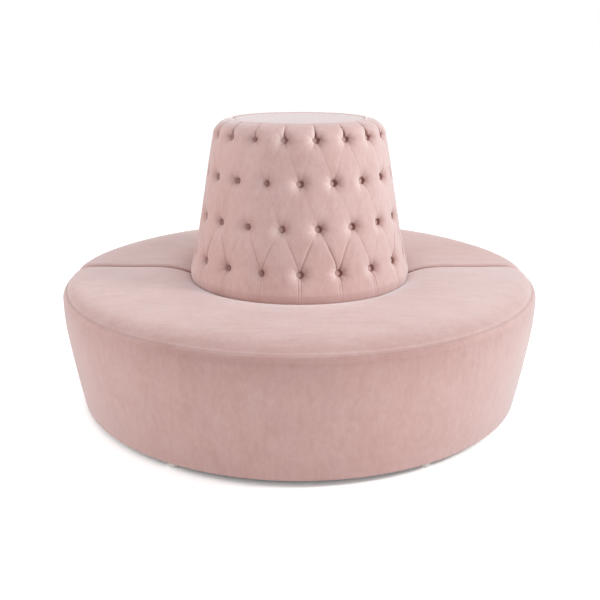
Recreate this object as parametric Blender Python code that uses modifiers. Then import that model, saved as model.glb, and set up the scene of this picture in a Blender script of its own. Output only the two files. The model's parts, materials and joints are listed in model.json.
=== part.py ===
# Round sofa: two half-ring seat modules closed round a buttoned cone backrest.
# Lengths are in metres, +Z is up, the floor is z = 0 and the sofa's axis is the Z axis.
# The split between the two modules runs along X, and the front module lies on the -Y side.
import math

import bmesh
import bpy
from mathutils import Matrix, Vector

# Overall sizes
SEAT_RADIUS = 0.800
RIM_HEIGHT = 0.406
SEAT_CROWN = 0.028
SEAT_SINK = 0.002
TOP_HEIGHT = 0.941
CLEARANCE = 0.0003
MERGE_DISTANCE = 0.00001

# Facets round each half ring and each glide
ARC_STEPS = 30
GLIDE_STEPS = 10

# Glides and the black cloth under the boards
GLIDE_RADIUS = 0.018
GLIDE_HEIGHT = 0.018
GLIDE_CHAMFER = 0.002
GLIDE_NECK = 0.003
CLOTH_THICKNESS = 0.001
CLOTH_MARGIN = 0.006

# Upholstered outer wall: it leans in by WALL_LEAN from the rim down to the hem
WALL_LEAN = 0.042
WALL_LEAN_POWER = 1.7
WALL_PADDING = 0.016
HEM_ROUNDING = 0.006
SEAM_ROUNDING = 0.0025
LIP_THICKNESS = 0.007
BAND_ROLL_SHARE = 0.75
BAND_ROLL_HEIGHT = 0.020
BAND_ROLL_TURNS = (0, 35, 65, 90)

# Boards of a seat module
BOARD_THICKNESS = 0.018
PLY_THICKNESS = 0.006
SEAT_PADDING = 0.106
RIB_ANGLES = (45, 90, 135)
RIB_HOLE_HEIGHT = 0.110
RIB_HOLE_WIDTH = 0.150
RIB_HOLE_POINTS = 12
VENT_ANGLES = (22, 67, 113, 158)
VENT_RADIUS = 0.030
VENT_POINTS = 10
VENT_OVERRUN = 0.010

# Seat cushion: the crown is flat on top and falls faster to the rim than to the cone. Its sample
# points run from the rim in to the cone.
RIM_CROWN_POWER = 6.5
CONE_CROWN_POWER = 4
CROWN_SHARES = (0.98, 0.95, 0.91, 0.85, 0.75, 0.60, 0.35, 0.20, 0.11, 0.05)
SPLIT_GAP = 0.002
ROLL_WIDTH = 0.036
ROLL_DROP = 0.014
ROLL_CUT_SHARES = (0.12, 0.45, 1.0)

# Glides stand at these angles from the module's right end, set in from the edges they support
OUTER_GLIDE_INSET = 0.030
OUTER_GLIDE_ANGLES = (6, 60, 120, 174)
INNER_GLIDE_INSET = 0.042
INNER_GLIDE_ANGLES = (30, 150)
CENTRE_GLIDE_INSET = 0.070
CENTRE_GLIDE_ANGLES = (45, 135, 225, 315)

# Flat bars that hold the two modules together under their boards
LINK_WIDTH = 0.030
LINK_LENGTH = 0.140
LINK_THICKNESS = 0.003
LINK_CORNER = 0.008

# Lower drum of the centre unit
DRUM_GAP = 0.006

# Cone backrest: its radius falls by CONE_TAPER from the rolled foot to the shoulder, along the
# curve whose shares are those of the rise, its square and its cube
CONE_RADIUS = 0.378
CONE_TAPER = 0.090
CONE_CURVE_SHARES = (1.37, -0.78, 0.41)
SHOULDER_WIDTH = 0.071
SHOULDER_DROP = 0.052
TOP_PANEL_EDGE = 0.002
TOP_PANEL_ROUNDING = 0.008
FOOT_ROLL_HEIGHT = 0.030
FOOT_ROLL_WIDTH = 0.012
FOOT_OVERHANG = 0.014
COVER_THICKNESS = 0.024
FOAM_THICKNESS = 0.036
SHELL_THICKNESS = 0.004
TOP_PAD_THICKNESS = 0.038
CONE_RIB_HOLE_HEIGHT = 0.150
CONE_RIB_HOLE_WIDTH = 0.110
DRUM_RIB_HOLE_HEIGHT = 0.150
DRUM_RIB_HOLE_WIDTH = 0.150

# Tufting: staggered rows of buttons joined by diagonal pleats
BUTTONS_PER_ROW = 18
BUTTON_ROWS = 4
LOWEST_ROW_RISE = 0.0637
HIGHEST_ROW_DROP = 0.044
BUTTON_RADIUS = 0.010
BUTTON_TOP_SHARE = 0.8
BUTTON_DEPTH = 0.0065
BUTTON_DOME = 0.0015
PLEAT_DEPTH = 0.007
DIMPLE_DEPTH = 0.006
PILLOW_POWER = 0.5
HEM_PLEAT_SHARE = 0.35
SHOULDER_STEPS = ((40, 1.0), (70, 0.8), (90, 0.35))

# Heights and radii that follow from the sizes above
CONE_STEPS = 2 * BUTTONS_PER_ROW
CONTACT_RADIUS = CONE_RADIUS - FOOT_ROLL_WIDTH
BORE_RADIUS = CONTACT_RADIUS - FOOT_OVERHANG
SHOULDER_RADIUS = CONE_RADIUS - CONE_TAPER
SHOULDER_HEIGHT = TOP_HEIGHT - SHOULDER_DROP
TOP_PANEL_RADIUS = SHOULDER_RADIUS - SHOULDER_WIDTH
DECK_HEIGHT = RIM_HEIGHT - SEAT_PADDING
HEM_HEIGHT = GLIDE_HEIGHT + CLEARANCE
BASE_BOTTOM = HEM_HEIGHT + CLOTH_THICKNESS + CLEARANCE
BASE_TOP = BASE_BOTTOM + BOARD_THICKNESS
DECK_BOTTOM = DECK_HEIGHT - BOARD_THICKNESS
BAND_TOP = RIM_HEIGHT - LIP_THICKNESS
SEAM_RADIUS = SEAT_RADIUS - WALL_PADDING * BAND_ROLL_SHARE
SEAT_AT_CONE = RIM_HEIGHT - SEAT_SINK
CONE_BASE = SEAT_AT_CONE + CLEARANCE
CONE_LOW = CONE_BASE + FOOT_ROLL_HEIGHT
LOWEST_ROW_HEIGHT = CONE_LOW + LOWEST_ROW_RISE
ROW_PITCH = (TOP_HEIGHT - HIGHEST_ROW_DROP - LOWEST_ROW_HEIGHT) / (BUTTON_ROWS - 1)
SHELL_INSET = COVER_THICKNESS + FOAM_THICKNESS
TOP_BOARD_TOP = TOP_HEIGHT - TOP_PAD_THICKNESS - CLEARANCE
TOP_BOARD_BOTTOM = TOP_BOARD_TOP - BOARD_THICKNESS
DRUM_RADIUS = BORE_RADIUS - DRUM_GAP
DRUM_BOARD_RADIUS = DRUM_RADIUS - PLY_THICKNESS - CLEARANCE
MID_BOARD_BOTTOM = SEAT_AT_CONE - BOARD_THICKNESS
BOARD_INSET = WALL_PADDING + PLY_THICKNESS + 2 * CLEARANCE
INNER_BOARD_RADIUS = BORE_RADIUS + PLY_THICKNESS + CLEARANCE
OUTER_GLIDE_CIRCLE = SEAT_RADIUS - WALL_LEAN - OUTER_GLIDE_INSET
INNER_GLIDE_CIRCLE = INNER_BOARD_RADIUS + INNER_GLIDE_INSET
CENTRE_GLIDE_CIRCLE = DRUM_BOARD_RADIUS - CENTRE_GLIDE_INSET
LINK_CIRCLE = (INNER_GLIDE_CIRCLE + OUTER_GLIDE_CIRCLE) / 2
RIB_FIT = CLEARANCE + BOARD_THICKNESS * math.tan(math.pi / ARC_STEPS / 2)
CONE_RIB_FIT = CLEARANCE + BOARD_THICKNESS * math.tan(math.pi / CONE_STEPS)


def between(low, high, share):
    return low + (high - low) * share


# Levels at which every layer of a module's outer wall has a ring of corners
WALL_LEVELS = (
    HEM_HEIGHT,
    BASE_TOP,
    between(BASE_TOP, DECK_BOTTOM, 1 / 3),
    between(BASE_TOP, DECK_BOTTOM, 2 / 3),
    DECK_BOTTOM,
    DECK_HEIGHT,
    between(DECK_HEIGHT, BAND_TOP, 1 / 2),
    BAND_TOP,
)
LEVELS_TO_DECK_TOP = WALL_LEVELS[:6]
LEVELS_ABOVE_DECK = WALL_LEVELS[6:]
RIB_LEVELS = WALL_LEVELS[1:5]


def clear_scene():
    for item in list(bpy.data.objects):
        bpy.data.objects.remove(item, do_unlink=True)


def new_collection(name):
    collection = bpy.data.collections.new(name)
    bpy.context.scene.collection.children.link(collection)
    return collection


def new_material(name, colour, roughness, metallic=0.0):
    material = bpy.data.materials.new(name)
    material.use_nodes = True
    shader = material.node_tree.nodes["Principled BSDF"]
    shader.inputs["Base Color"].default_value = (*colour, 1.0)
    shader.inputs["Roughness"].default_value = roughness
    shader.inputs["Metallic"].default_value = metallic
    material.diffuse_color = (*colour, 1.0)
    return material


clear_scene()
sofa = new_collection("round_sofa")
tools = new_collection("round_sofa_cutters")
velvet = new_material("blush velvet", (0.62, 0.40, 0.37), 0.85)
plywood = new_material("birch plywood", (0.63, 0.47, 0.30), 0.6)
hardboard = new_material("hardboard", (0.33, 0.20, 0.11), 0.7)
foam = new_material("cream foam", (0.80, 0.74, 0.58), 0.9)
black_cloth = new_material("black lining cloth", (0.02, 0.02, 0.02), 0.9)
white_plastic = new_material("white plastic", (0.78, 0.76, 0.72), 0.45)
zinc_steel = new_material("zinc plated steel", (0.60, 0.61, 0.62), 0.35, 1.0)


def add_object(name, data, material, parent=None, collection=sofa):
    item = bpy.data.objects.new(name, data)
    collection.objects.link(item)
    item.parent = parent
    if material:
        item.data.materials.append(material)
    return item


def add_empty(name, location, turn):
    empty = add_object(name, None, None)
    empty.location = location
    empty.rotation_euler.z = turn
    return empty


def mesh_from(shape, name, smooth_angle=40):
    mesh = bpy.data.meshes.new(name)
    bmesh.ops.recalc_face_normals(shape, faces=shape.faces)
    shape.to_mesh(mesh)
    shape.free()
    mesh.shade_smooth()
    mesh.set_sharp_from_angle(angle=math.radians(smooth_angle))
    return mesh


# Shapes that several pieces share
def spin_half(outline):
    # A closed outline of (radius, height) corners, spun half a turn from +X over +Y to -X.
    shape = bmesh.new()
    corners = [shape.verts.new((radius, 0, height)) for radius, height in outline]
    section = shape.faces.new(corners)
    swept = [section, *section.edges, *section.verts]
    bmesh.ops.spin(shape, geom=swept, axis=(0, 0, 1), angle=math.pi, steps=ARC_STEPS)
    return shape


def half_ring(name, outline, material, module):
    return add_object(name, mesh_from(spin_half(outline), name), material, module)


def turned(name, profile, steps, material, parent=None, closed=False):
    # A profile of (radius, height) points that runs down its outer side, turned about its axis.
    mesh = bpy.data.meshes.new(name)
    points = [(radius, 0, height) for radius, height in profile]
    lines = [(index, index + 1) for index in range(len(points) - 1)]
    if closed:
        lines.append((len(points) - 1, 0))
    mesh.from_pydata(points, lines, [])
    item = add_object(name, mesh, material, parent)
    screw = item.modifiers.new("Turn", "SCREW")
    screw.steps = steps
    screw.render_steps = steps
    screw.use_merge_vertices = True
    screw.merge_threshold = MERGE_DISTANCE
    return item


def disc(name, radius_top, top, radius_bottom, bottom, material):
    profile = ((0, top), (radius_top, top), (radius_bottom, bottom), (0, bottom))
    return turned(name, profile, CONE_STEPS, material)


def board(name, outlines, material, parent, turn=0.0, shift=0.0):
    # An upright board: outlines of (distance, height), the first its edge and the rest its holes.
    # It stands along the direction at the angle turn, moved sideways along Y by shift.
    curve = bpy.data.curves.new(name, "CURVE")
    curve.dimensions = "2D"
    curve.fill_mode = "BOTH"
    curve.extrude = BOARD_THICKNESS / 2
    for outline in outlines:
        spline = curve.splines.new("POLY")
        spline.points.add(len(outline) - 1)
        for point, (distance, height) in zip(spline.points, outline):
            point.co = (distance, height, 0, 1)
        spline.use_cyclic_u = True
    item = add_object(name, curve, material, parent)
    item.rotation_euler = (math.pi / 2, 0, turn)
    item.location.y = shift
    return item


def oval(centre, width, height, points):
    turns = [2 * math.pi * index / points for index in range(points)]
    return [
        (centre[0] + width / 2 * math.cos(turn), centre[1] + height / 2 * math.sin(turn))
        for turn in turns
    ]


def glide(name, circle, angle, parent=None):
    profile = (
        (0, GLIDE_HEIGHT),
        (GLIDE_RADIUS - GLIDE_CHAMFER, GLIDE_HEIGHT),
        (GLIDE_RADIUS, GLIDE_HEIGHT - GLIDE_NECK),
        (GLIDE_RADIUS, GLIDE_CHAMFER),
        (GLIDE_RADIUS - GLIDE_CHAMFER, 0),
        (0, 0),
    )
    item = turned(name, profile, GLIDE_STEPS, white_plastic, parent)
    turn = math.radians(angle)
    item.location = (circle * math.cos(turn), circle * math.sin(turn), 0)
    return item


# Outer wall's radius: the lean grows from nothing at the band's top to its full value at the hem
def wall_radius(height, inset=0.0):
    left = (BAND_TOP - height) / (BAND_TOP - HEM_HEIGHT)
    return SEAT_RADIUS - WALL_LEAN * max(left, 0) ** WALL_LEAN_POWER - inset


def wall_path(levels, inset):
    return [(wall_radius(level, inset), level) for level in levels]


def seat_top(share):
    # Share runs from 0 at the cone to 1 at the rim; the crown is highest half way.
    radius = between(CONTACT_RADIUS, SEAM_RADIUS - SEAM_ROUNDING, share)
    side = 2 * share - 1
    power = RIM_CROWN_POWER if side > 0 else CONE_CROWN_POWER
    crown = SEAT_CROWN * (1 - abs(side) ** power)
    return radius, between(SEAT_AT_CONE, RIM_HEIGHT, share) + crown


# Seat module pieces
def base_board(module_name, module):
    edge = wall_radius(HEM_HEIGHT, BOARD_INSET + CLEARANCE)
    outline = (
        (INNER_BOARD_RADIUS, BASE_BOTTOM),
        (edge, BASE_BOTTOM),
        (wall_radius(BASE_TOP, BOARD_INSET + CLEARANCE), BASE_TOP),
        (INNER_BOARD_RADIUS, BASE_TOP),
    )
    half_ring(f"{module_name}_base_board", outline, plywood, module)


def lining_cloth(module_name, module):
    outline = (
        (BORE_RADIUS + CLOTH_MARGIN, HEM_HEIGHT),
        (wall_radius(HEM_HEIGHT, WALL_PADDING + CLOTH_MARGIN), HEM_HEIGHT),
        (wall_radius(HEM_HEIGHT, WALL_PADDING + CLOTH_MARGIN), HEM_HEIGHT + CLOTH_THICKNESS),
        (BORE_RADIUS + CLOTH_MARGIN, HEM_HEIGHT + CLOTH_THICKNESS),
    )
    half_ring(f"{module_name}_lining_cloth", outline, black_cloth, module)


def outer_wall(module_name, module):
    outside = wall_path(LEVELS_TO_DECK_TOP, WALL_PADDING + CLEARANCE)
    inside = wall_path(LEVELS_TO_DECK_TOP, WALL_PADDING + CLEARANCE + PLY_THICKNESS)
    half_ring(f"{module_name}_outer_wall", raise_foot(outside) + raise_foot(inside)[::-1],
              plywood, module)


def raise_foot(path):
    # The ply starts level with the base board's underside, above the lining cloth.
    return [(path[0][0], BASE_BOTTOM)] + path[1:]


def inner_wall(module_name, module):
    outline = (
        (BORE_RADIUS, BASE_BOTTOM),
        (BORE_RADIUS + PLY_THICKNESS, BASE_BOTTOM),
        (BORE_RADIUS + PLY_THICKNESS, DECK_HEIGHT),
        (BORE_RADIUS, DECK_HEIGHT),
    )
    half_ring(f"{module_name}_inner_wall", outline, plywood, module)


def seat_deck(module_name, module):
    name = f"{module_name}_seat_deck"
    outline = (
        (INNER_BOARD_RADIUS, DECK_BOTTOM),
        (wall_radius(DECK_BOTTOM, BOARD_INSET + CLEARANCE), DECK_BOTTOM),
        (wall_radius(DECK_HEIGHT, BOARD_INSET + CLEARANCE), DECK_HEIGHT),
        (INNER_BOARD_RADIUS, DECK_HEIGHT),
    )
    deck = half_ring(name, outline, plywood, module)
    vent_circle = (INNER_BOARD_RADIUS + wall_radius(DECK_BOTTOM, BOARD_INSET)) / 2
    shape = bmesh.new()
    for angle in VENT_ANGLES:
        turn = math.radians(angle)
        place = Vector((vent_circle * math.cos(turn), vent_circle * math.sin(turn),
                        (DECK_BOTTOM + DECK_HEIGHT) / 2))
        bmesh.ops.create_cone(shape, cap_ends=True, segments=VENT_POINTS, radius1=VENT_RADIUS,
                              radius2=VENT_RADIUS, depth=BOARD_THICKNESS + 2 * VENT_OVERRUN,
                              matrix=Matrix.Translation(place))
    cutter = add_object(f"{name}_vents", mesh_from(shape, f"{name}_vents"), None, module, tools)
    cut_away(deck, cutter)


def cut_away(item, cutter):
    cutter.hide_render = True
    cutter.display_type = "WIRE"
    modifier = item.modifiers.new("Cut", "BOOLEAN")
    modifier.operation = "DIFFERENCE"
    modifier.solver = "EXACT"
    modifier.object = cutter


def rib_outlines():
    inner = INNER_BOARD_RADIUS + CLEARANCE
    bottom = BASE_TOP + CLEARANCE
    top = DECK_BOTTOM - CLEARANCE
    outer_edge = wall_path(RIB_LEVELS, BOARD_INSET + RIB_FIT)
    outer_edge[0] = (outer_edge[0][0], bottom)
    outer_edge[-1] = (outer_edge[-1][0], top)
    outer = outer_edge[0][0]
    hole = oval(((inner + outer) / 2, (bottom + top) / 2), RIB_HOLE_WIDTH, RIB_HOLE_HEIGHT,
                RIB_HOLE_POINTS)
    return [(inner, bottom), *outer_edge, (inner, top)], hole


def ribs(module_name, module):
    outlines = rib_outlines()
    for number, angle in enumerate(RIB_ANGLES, 1):
        board(f"{module_name}_rib_{number}", outlines, plywood, module, math.radians(angle))
    # The end boards close the split; they stand beside the X axis, one at each end.
    shift = BOARD_THICKNESS / 2
    board(f"{module_name}_end_board_1", outlines, plywood, module, 0, shift)
    board(f"{module_name}_end_board_2", outlines, plywood, module, math.pi, shift)


def side_band(module_name, module):
    # Velvet over wadding on the outer wall, from the hem up to the seam, where its top rolls in.
    outside = [(wall_radius(HEM_HEIGHT, HEM_ROUNDING), HEM_HEIGHT)]
    outside.append((wall_radius(HEM_HEIGHT + HEM_ROUNDING), HEM_HEIGHT + HEM_ROUNDING))
    outside.extend(wall_path(WALL_LEVELS[1:-1], 0.0))
    for angle in BAND_ROLL_TURNS:
        turn = math.radians(angle)
        outside.append((between(SEAM_RADIUS, SEAT_RADIUS, math.cos(turn)),
                        BAND_TOP - BAND_ROLL_HEIGHT * (1 - math.sin(turn))))
    inside = wall_path(WALL_LEVELS, WALL_PADDING)
    half_ring(f"{module_name}_side_band", outside + inside[::-1], velvet, module)


def seat_cushion(module_name, module):
    name = f"{module_name}_seat_cushion"
    bottom = DECK_HEIGHT + CLEARANCE
    outline = [(BORE_RADIUS, bottom)]
    outline.append((wall_radius(DECK_HEIGHT, WALL_PADDING + CLEARANCE), bottom))
    outline.extend(wall_path(LEVELS_ABOVE_DECK, WALL_PADDING + CLEARANCE))
    outline[-1] = (outline[-1][0], BAND_TOP + CLEARANCE)
    outline.append((SEAM_RADIUS - SEAM_ROUNDING, BAND_TOP + CLEARANCE))
    outline.append((SEAM_RADIUS, BAND_TOP + CLEARANCE + SEAM_ROUNDING))
    outline.append((SEAM_RADIUS, RIM_HEIGHT - SEAM_ROUNDING))
    outline.append(seat_top(1.0))
    outline.extend(seat_top(share) for share in CROWN_SHARES)
    outline.append(seat_top(0.0))
    outline.append((BORE_RADIUS + SEAM_ROUNDING, SEAT_AT_CONE - SEAM_ROUNDING))
    outline.append((BORE_RADIUS, SEAT_AT_CONE - 2 * SEAM_ROUNDING))
    shape = spin_half(outline)
    for share in ROLL_CUT_SHARES:
        everything = [*shape.verts, *shape.edges, *shape.faces]
        bmesh.ops.bisect_plane(shape, geom=everything, dist=MERGE_DISTANCE,
                               plane_co=(0, ROLL_WIDTH * share, 0), plane_no=(0, 1, 0))
    roll_ends(shape)
    add_object(name, mesh_from(shape, name), velvet, module)


def roll_ends(shape):
    # Near the split the top falls along a quarter ellipse, ROLL_WIDTH wide and ROLL_DROP high.
    for corner in shape.verts:
        if corner.co.z > BAND_TOP - SEAM_ROUNDING:
            reach = max(0, 1 - corner.co.y / ROLL_WIDTH)
            fall = ROLL_DROP * (1 - math.sqrt(max(0, 1 - reach * reach)))
            above = (corner.co.z - BAND_TOP) / (RIM_HEIGHT + SEAT_CROWN - BAND_TOP)
            corner.co.z -= fall * max(0, min(1, above))


def seat_module(module_name, side, turn):
    module = add_empty(f"{module_name}_module", (0, side * SPLIT_GAP / 2, 0), turn)
    base_board(module_name, module)
    lining_cloth(module_name, module)
    outer_wall(module_name, module)
    inner_wall(module_name, module)
    seat_deck(module_name, module)
    ribs(module_name, module)
    side_band(module_name, module)
    seat_cushion(module_name, module)
    for number, angle in enumerate(OUTER_GLIDE_ANGLES, 1):
        glide(f"{module_name}_outer_glide_{number}", OUTER_GLIDE_CIRCLE, angle, module)
    for number, angle in enumerate(INNER_GLIDE_ANGLES, 1):
        glide(f"{module_name}_inner_glide_{number}", INNER_GLIDE_CIRCLE, angle, module)


# Link bars lie flat under the lining cloth and bridge the split
def link_bar(name, side):
    shape = bmesh.new()
    size = Matrix.Diagonal((LINK_WIDTH, LINK_LENGTH, LINK_THICKNESS, 1))
    bmesh.ops.create_cube(shape, size=1.0, matrix=size)
    upright = [edge for edge in shape.edges
               if abs(edge.verts[0].co.z - edge.verts[1].co.z) > LINK_THICKNESS / 2]
    bmesh.ops.bevel(shape, geom=upright, offset=LINK_CORNER, segments=2, affect="EDGES", profile=0.5)
    bar = add_object(name, mesh_from(shape, name), zinc_steel)
    bar.location = (side * LINK_CIRCLE, 0, GLIDE_HEIGHT - LINK_THICKNESS / 2)


# Cone's radius: from CONE_RADIUS above the rolled foot down the curve to SHOULDER_RADIUS
def cone_radius(height, inset=0.0):
    rise = (height - CONE_LOW) / (SHOULDER_HEIGHT - CONE_LOW)
    rise = max(0, min(1, rise))
    taper = sum(share * rise ** power for power, share in enumerate(CONE_CURVE_SHARES, 1))
    return CONE_RADIUS - (CONE_RADIUS - SHOULDER_RADIUS) * taper - inset


def cone_path(levels, inset):
    return [(cone_radius(level, inset), level) for level in levels]


# Centre unit: the drum that stands in the seat's bore
def drum():
    turned(
        "centre_drum_wall",
        (
            (DRUM_RADIUS, SEAT_AT_CONE),
            (DRUM_RADIUS, BASE_BOTTOM),
            (DRUM_RADIUS - PLY_THICKNESS, BASE_BOTTOM),
            (DRUM_RADIUS - PLY_THICKNESS, SEAT_AT_CONE),
        ),
        CONE_STEPS, plywood, closed=True,
    )
    disc("centre_base_board", DRUM_BOARD_RADIUS, BASE_TOP, DRUM_BOARD_RADIUS, BASE_BOTTOM, plywood)
    disc("centre_mid_board", DRUM_BOARD_RADIUS, SEAT_AT_CONE, DRUM_BOARD_RADIUS, MID_BOARD_BOTTOM,
         plywood)
    cloth_radius = DRUM_RADIUS - CLOTH_MARGIN
    disc("centre_lining_cloth", cloth_radius, HEM_HEIGHT + CLOTH_THICKNESS, cloth_radius,
         HEM_HEIGHT, black_cloth)
    radius = DRUM_RADIUS - PLY_THICKNESS - CONE_RIB_FIT
    bottom = BASE_TOP + CLEARANCE
    top = MID_BOARD_BOTTOM - CLEARANCE
    hole_size = (DRUM_RIB_HOLE_WIDTH, DRUM_RIB_HOLE_HEIGHT)
    crossed_ribs("centre_drum_rib", [(radius, bottom), (radius, top)], hole_size)
    for number, angle in enumerate(CENTRE_GLIDE_ANGLES, 1):
        glide(f"centre_glide_{number}", CENTRE_GLIDE_CIRCLE, angle)


def crossed_ribs(name, edge, hole_size):
    # One rib spans the whole width along X, and two half ribs meet it from the front and rear.
    # The edge is the right-hand outline, from the bottom up.
    middle = (edge[0][1] + edge[-1][1]) / 2
    hole_offset = min(distance for distance, height in edge) / 2
    mirrored = [(-distance, height) for distance, height in edge]
    holes = [oval((side * hole_offset, middle), *hole_size, RIB_HOLE_POINTS) for side in (-1, 1)]
    board(f"{name}_long", [edge + mirrored[::-1], *holes], plywood, None)
    start = BOARD_THICKNESS / 2 + CLEARANCE
    half = [(start, edge[0][1]), *edge, (start, edge[-1][1])]
    board(f"{name}_front", [half, holes[1]], plywood, None, -math.pi / 2)
    board(f"{name}_rear", [half, holes[1]], plywood, None, math.pi / 2)


# Centre unit: the cone's frame, foam and top pad
def cone_frame():
    levels = (CONE_BASE, CONE_LOW, TOP_BOARD_BOTTOM, TOP_BOARD_TOP)
    outside = cone_path(levels, SHELL_INSET)
    inside = cone_path(levels, SHELL_INSET + SHELL_THICKNESS)
    turned("cone_shell", outside[::-1] + inside, CONE_STEPS, hardboard, closed=True)
    board_inset = SHELL_INSET + SHELL_THICKNESS + CLEARANCE
    disc("cone_top_board", cone_radius(TOP_BOARD_TOP, board_inset), TOP_BOARD_TOP,
         cone_radius(TOP_BOARD_BOTTOM, board_inset), TOP_BOARD_BOTTOM, plywood)
    edge = cone_path(levels[:3], SHELL_INSET + SHELL_THICKNESS + CONE_RIB_FIT)
    edge[0] = (edge[0][0], CONE_BASE)
    edge[-1] = (edge[-1][0], TOP_BOARD_BOTTOM - CLEARANCE)
    crossed_ribs("cone_rib", edge, (CONE_RIB_HOLE_WIDTH, CONE_RIB_HOLE_HEIGHT))
    foam_layer(cone_path(levels, SHELL_INSET - CLEARANCE))


def foam_layer(inside):
    inset = COVER_THICKNESS + CLEARANCE
    profile = [
        (TOP_PANEL_RADIUS, TOP_HEIGHT - inset),
        (cone_radius(SHOULDER_HEIGHT, inset), SHOULDER_HEIGHT),
        (cone_radius(CONE_LOW, inset), CONE_LOW),
        (CONTACT_RADIUS - inset, CONE_BASE),
        *inside[:-1],
        (inside[-1][0], TOP_BOARD_TOP + CLEARANCE),
        (TOP_PANEL_RADIUS, TOP_BOARD_TOP + CLEARANCE),
    ]
    turned("cone_foam", profile, CONE_STEPS, foam, closed=True)


def top_pad():
    radius = TOP_PANEL_RADIUS - CLEARANCE
    profile = (
        (0, TOP_HEIGHT),
        (radius - TOP_PANEL_ROUNDING, TOP_HEIGHT),
        (radius - TOP_PANEL_EDGE, TOP_HEIGHT - TOP_PANEL_EDGE),
        (radius, TOP_HEIGHT - 2 * TOP_PANEL_EDGE),
        (radius, TOP_BOARD_TOP + CLEARANCE),
        (0, TOP_BOARD_TOP + CLEARANCE),
    )
    turned("cone_top_pad", profile, CONE_STEPS, velvet)


# Tufted cover: a grid of four columns to each button pitch and two rings to each row pitch.
# A quarter pitch along by half a row pitch up is a cell, so the pleats lie on cell diagonals.
COLUMNS_PER_PITCH = 4
COLUMNS = COLUMNS_PER_PITCH * BUTTONS_PER_ROW
FIRST_ROW_RING = 4


def pillow(pitches, row):
    # One at the crown of each pillow and nothing along the pleats that join the buttons.
    # Between the rows the pleats are diagonal, and above and below them they run upright.
    row = max(0, min(BUTTON_ROWS - 1, row))
    rising = abs(math.sin(math.pi * (pitches + row / 2)))
    falling = abs(math.sin(math.pi * (pitches - row / 2)))
    return (rising * falling) ** PILLOW_POWER


def cover_rings():
    # Each ring is its radius, its height, the way it faces up from level, its row and its pleating.
    rings = [
        (CONTACT_RADIUS - COVER_THICKNESS, CONE_BASE, 0, 0, 0),
        (CONTACT_RADIUS, CONE_BASE, 0, 0, 0),
        (cone_radius(CONE_LOW), CONE_LOW, 0, 0, HEM_PLEAT_SHARE),
    ]
    channel = (CONE_LOW + LOWEST_ROW_HEIGHT) / 2
    rings.append((cone_radius(channel), channel, 0, 0, 1))
    for step in range(2 * BUTTON_ROWS - 1):
        height = LOWEST_ROW_HEIGHT + ROW_PITCH * step / 2
        rings.append((cone_radius(height), height, 0, step / 2, 1))
    for angle, share in SHOULDER_STEPS:
        turn = math.radians(angle)
        width = SHOULDER_RADIUS - TOP_PANEL_RADIUS
        rise = TOP_HEIGHT - TOP_PANEL_EDGE - SHOULDER_HEIGHT
        rings.append((TOP_PANEL_RADIUS + width * math.cos(turn),
                      SHOULDER_HEIGHT + rise * math.sin(turn), turn, BUTTON_ROWS - 1, share))
    rings.append((TOP_PANEL_RADIUS, TOP_HEIGHT - COVER_THICKNESS, 0, 0, 0))
    rings.append((cone_radius(SHOULDER_HEIGHT, COVER_THICKNESS), SHOULDER_HEIGHT, 0, 0, 0))
    rings.append((cone_radius(CONE_LOW, COVER_THICKNESS), CONE_LOW, 0, 0, 0))
    return rings


def place_round(radius, height, pitches):
    # The first column faces -Y, where one button of the lowest row is seen head on.
    turn = 2 * math.pi * pitches / BUTTONS_PER_ROW
    return Vector((radius * math.sin(turn), -radius * math.cos(turn), height))


def is_button(ring_index, column):
    # Buttons lie on every second ring of the rows, on every fourth column, staggered by two.
    step = ring_index - FIRST_ROW_RING
    on_row = 0 <= step <= 2 * BUTTON_ROWS - 2 and step % 2 == 0
    return on_row and (column + step) % COLUMNS_PER_PITCH == 0


def cover_corner(ring, ring_index, column):
    radius, height, facing, row, share = ring
    pitches = column / COLUMNS_PER_PITCH
    depth = share * PLEAT_DEPTH * (1 - pillow(pitches, row))
    if is_button(ring_index, column):
        depth += DIMPLE_DEPTH
    return place_round(radius - depth * math.cos(facing), height - depth * math.sin(facing), pitches)


def cover_grid(shape):
    rings = cover_rings()
    grid = [
        [shape.verts.new(cover_corner(ring, index, column)) for column in range(COLUMNS)]
        for index, ring in enumerate(rings)
    ]
    for index, line in enumerate(grid):
        upper = grid[(index + 1) % len(grid)]
        for column in range(COLUMNS):
            after = (column + 1) % COLUMNS
            corners = (line[column], line[after], upper[after], upper[column])
            rising = (column + index - FIRST_ROW_RING) % 2 == 0
            cut = ((0, 1, 2), (0, 2, 3)) if rising else ((0, 1, 3), (1, 2, 3))
            for triangle in cut:
                shape.faces.new([corners[corner] for corner in triangle])
    return [
        grid[index][column]
        for index in range(len(grid))
        for column in range(COLUMNS)
        if is_button(index, column)
    ]


def raise_buttons(shape, centres):
    # Each button's corner becomes an eight-sided seat, and its face is drawn out to a domed button.
    seats = bmesh.ops.bevel(shape, geom=centres, offset=BUTTON_RADIUS, segments=1,
                            affect="VERTICES", profile=0.5)["faces"]
    faces = bmesh.ops.extrude_discrete_faces(shape, faces=seats)["faces"]
    for face in faces:
        middle = face.calc_center_median()
        outward = Vector((middle.x, middle.y, 0)).normalized()
        crown = outward * cone_radius(middle.z, BUTTON_DEPTH)
        crown.z = middle.z
        for corner in face.verts:
            spread = corner.co - middle
            spread -= outward * spread.dot(outward)
            corner.co = crown + spread * BUTTON_TOP_SHARE
    bmesh.ops.recalc_face_normals(shape, faces=shape.faces)
    bmesh.ops.poke(shape, faces=faces, offset=BUTTON_DOME)


def tufted_cover():
    # The cover is one piece with its buttons, which are sewn through it.
    shape = bmesh.new()
    raise_buttons(shape, cover_grid(shape))
    add_object("cone_tufted_cover", mesh_from(shape, "cone_tufted_cover", 60), velvet)


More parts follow.
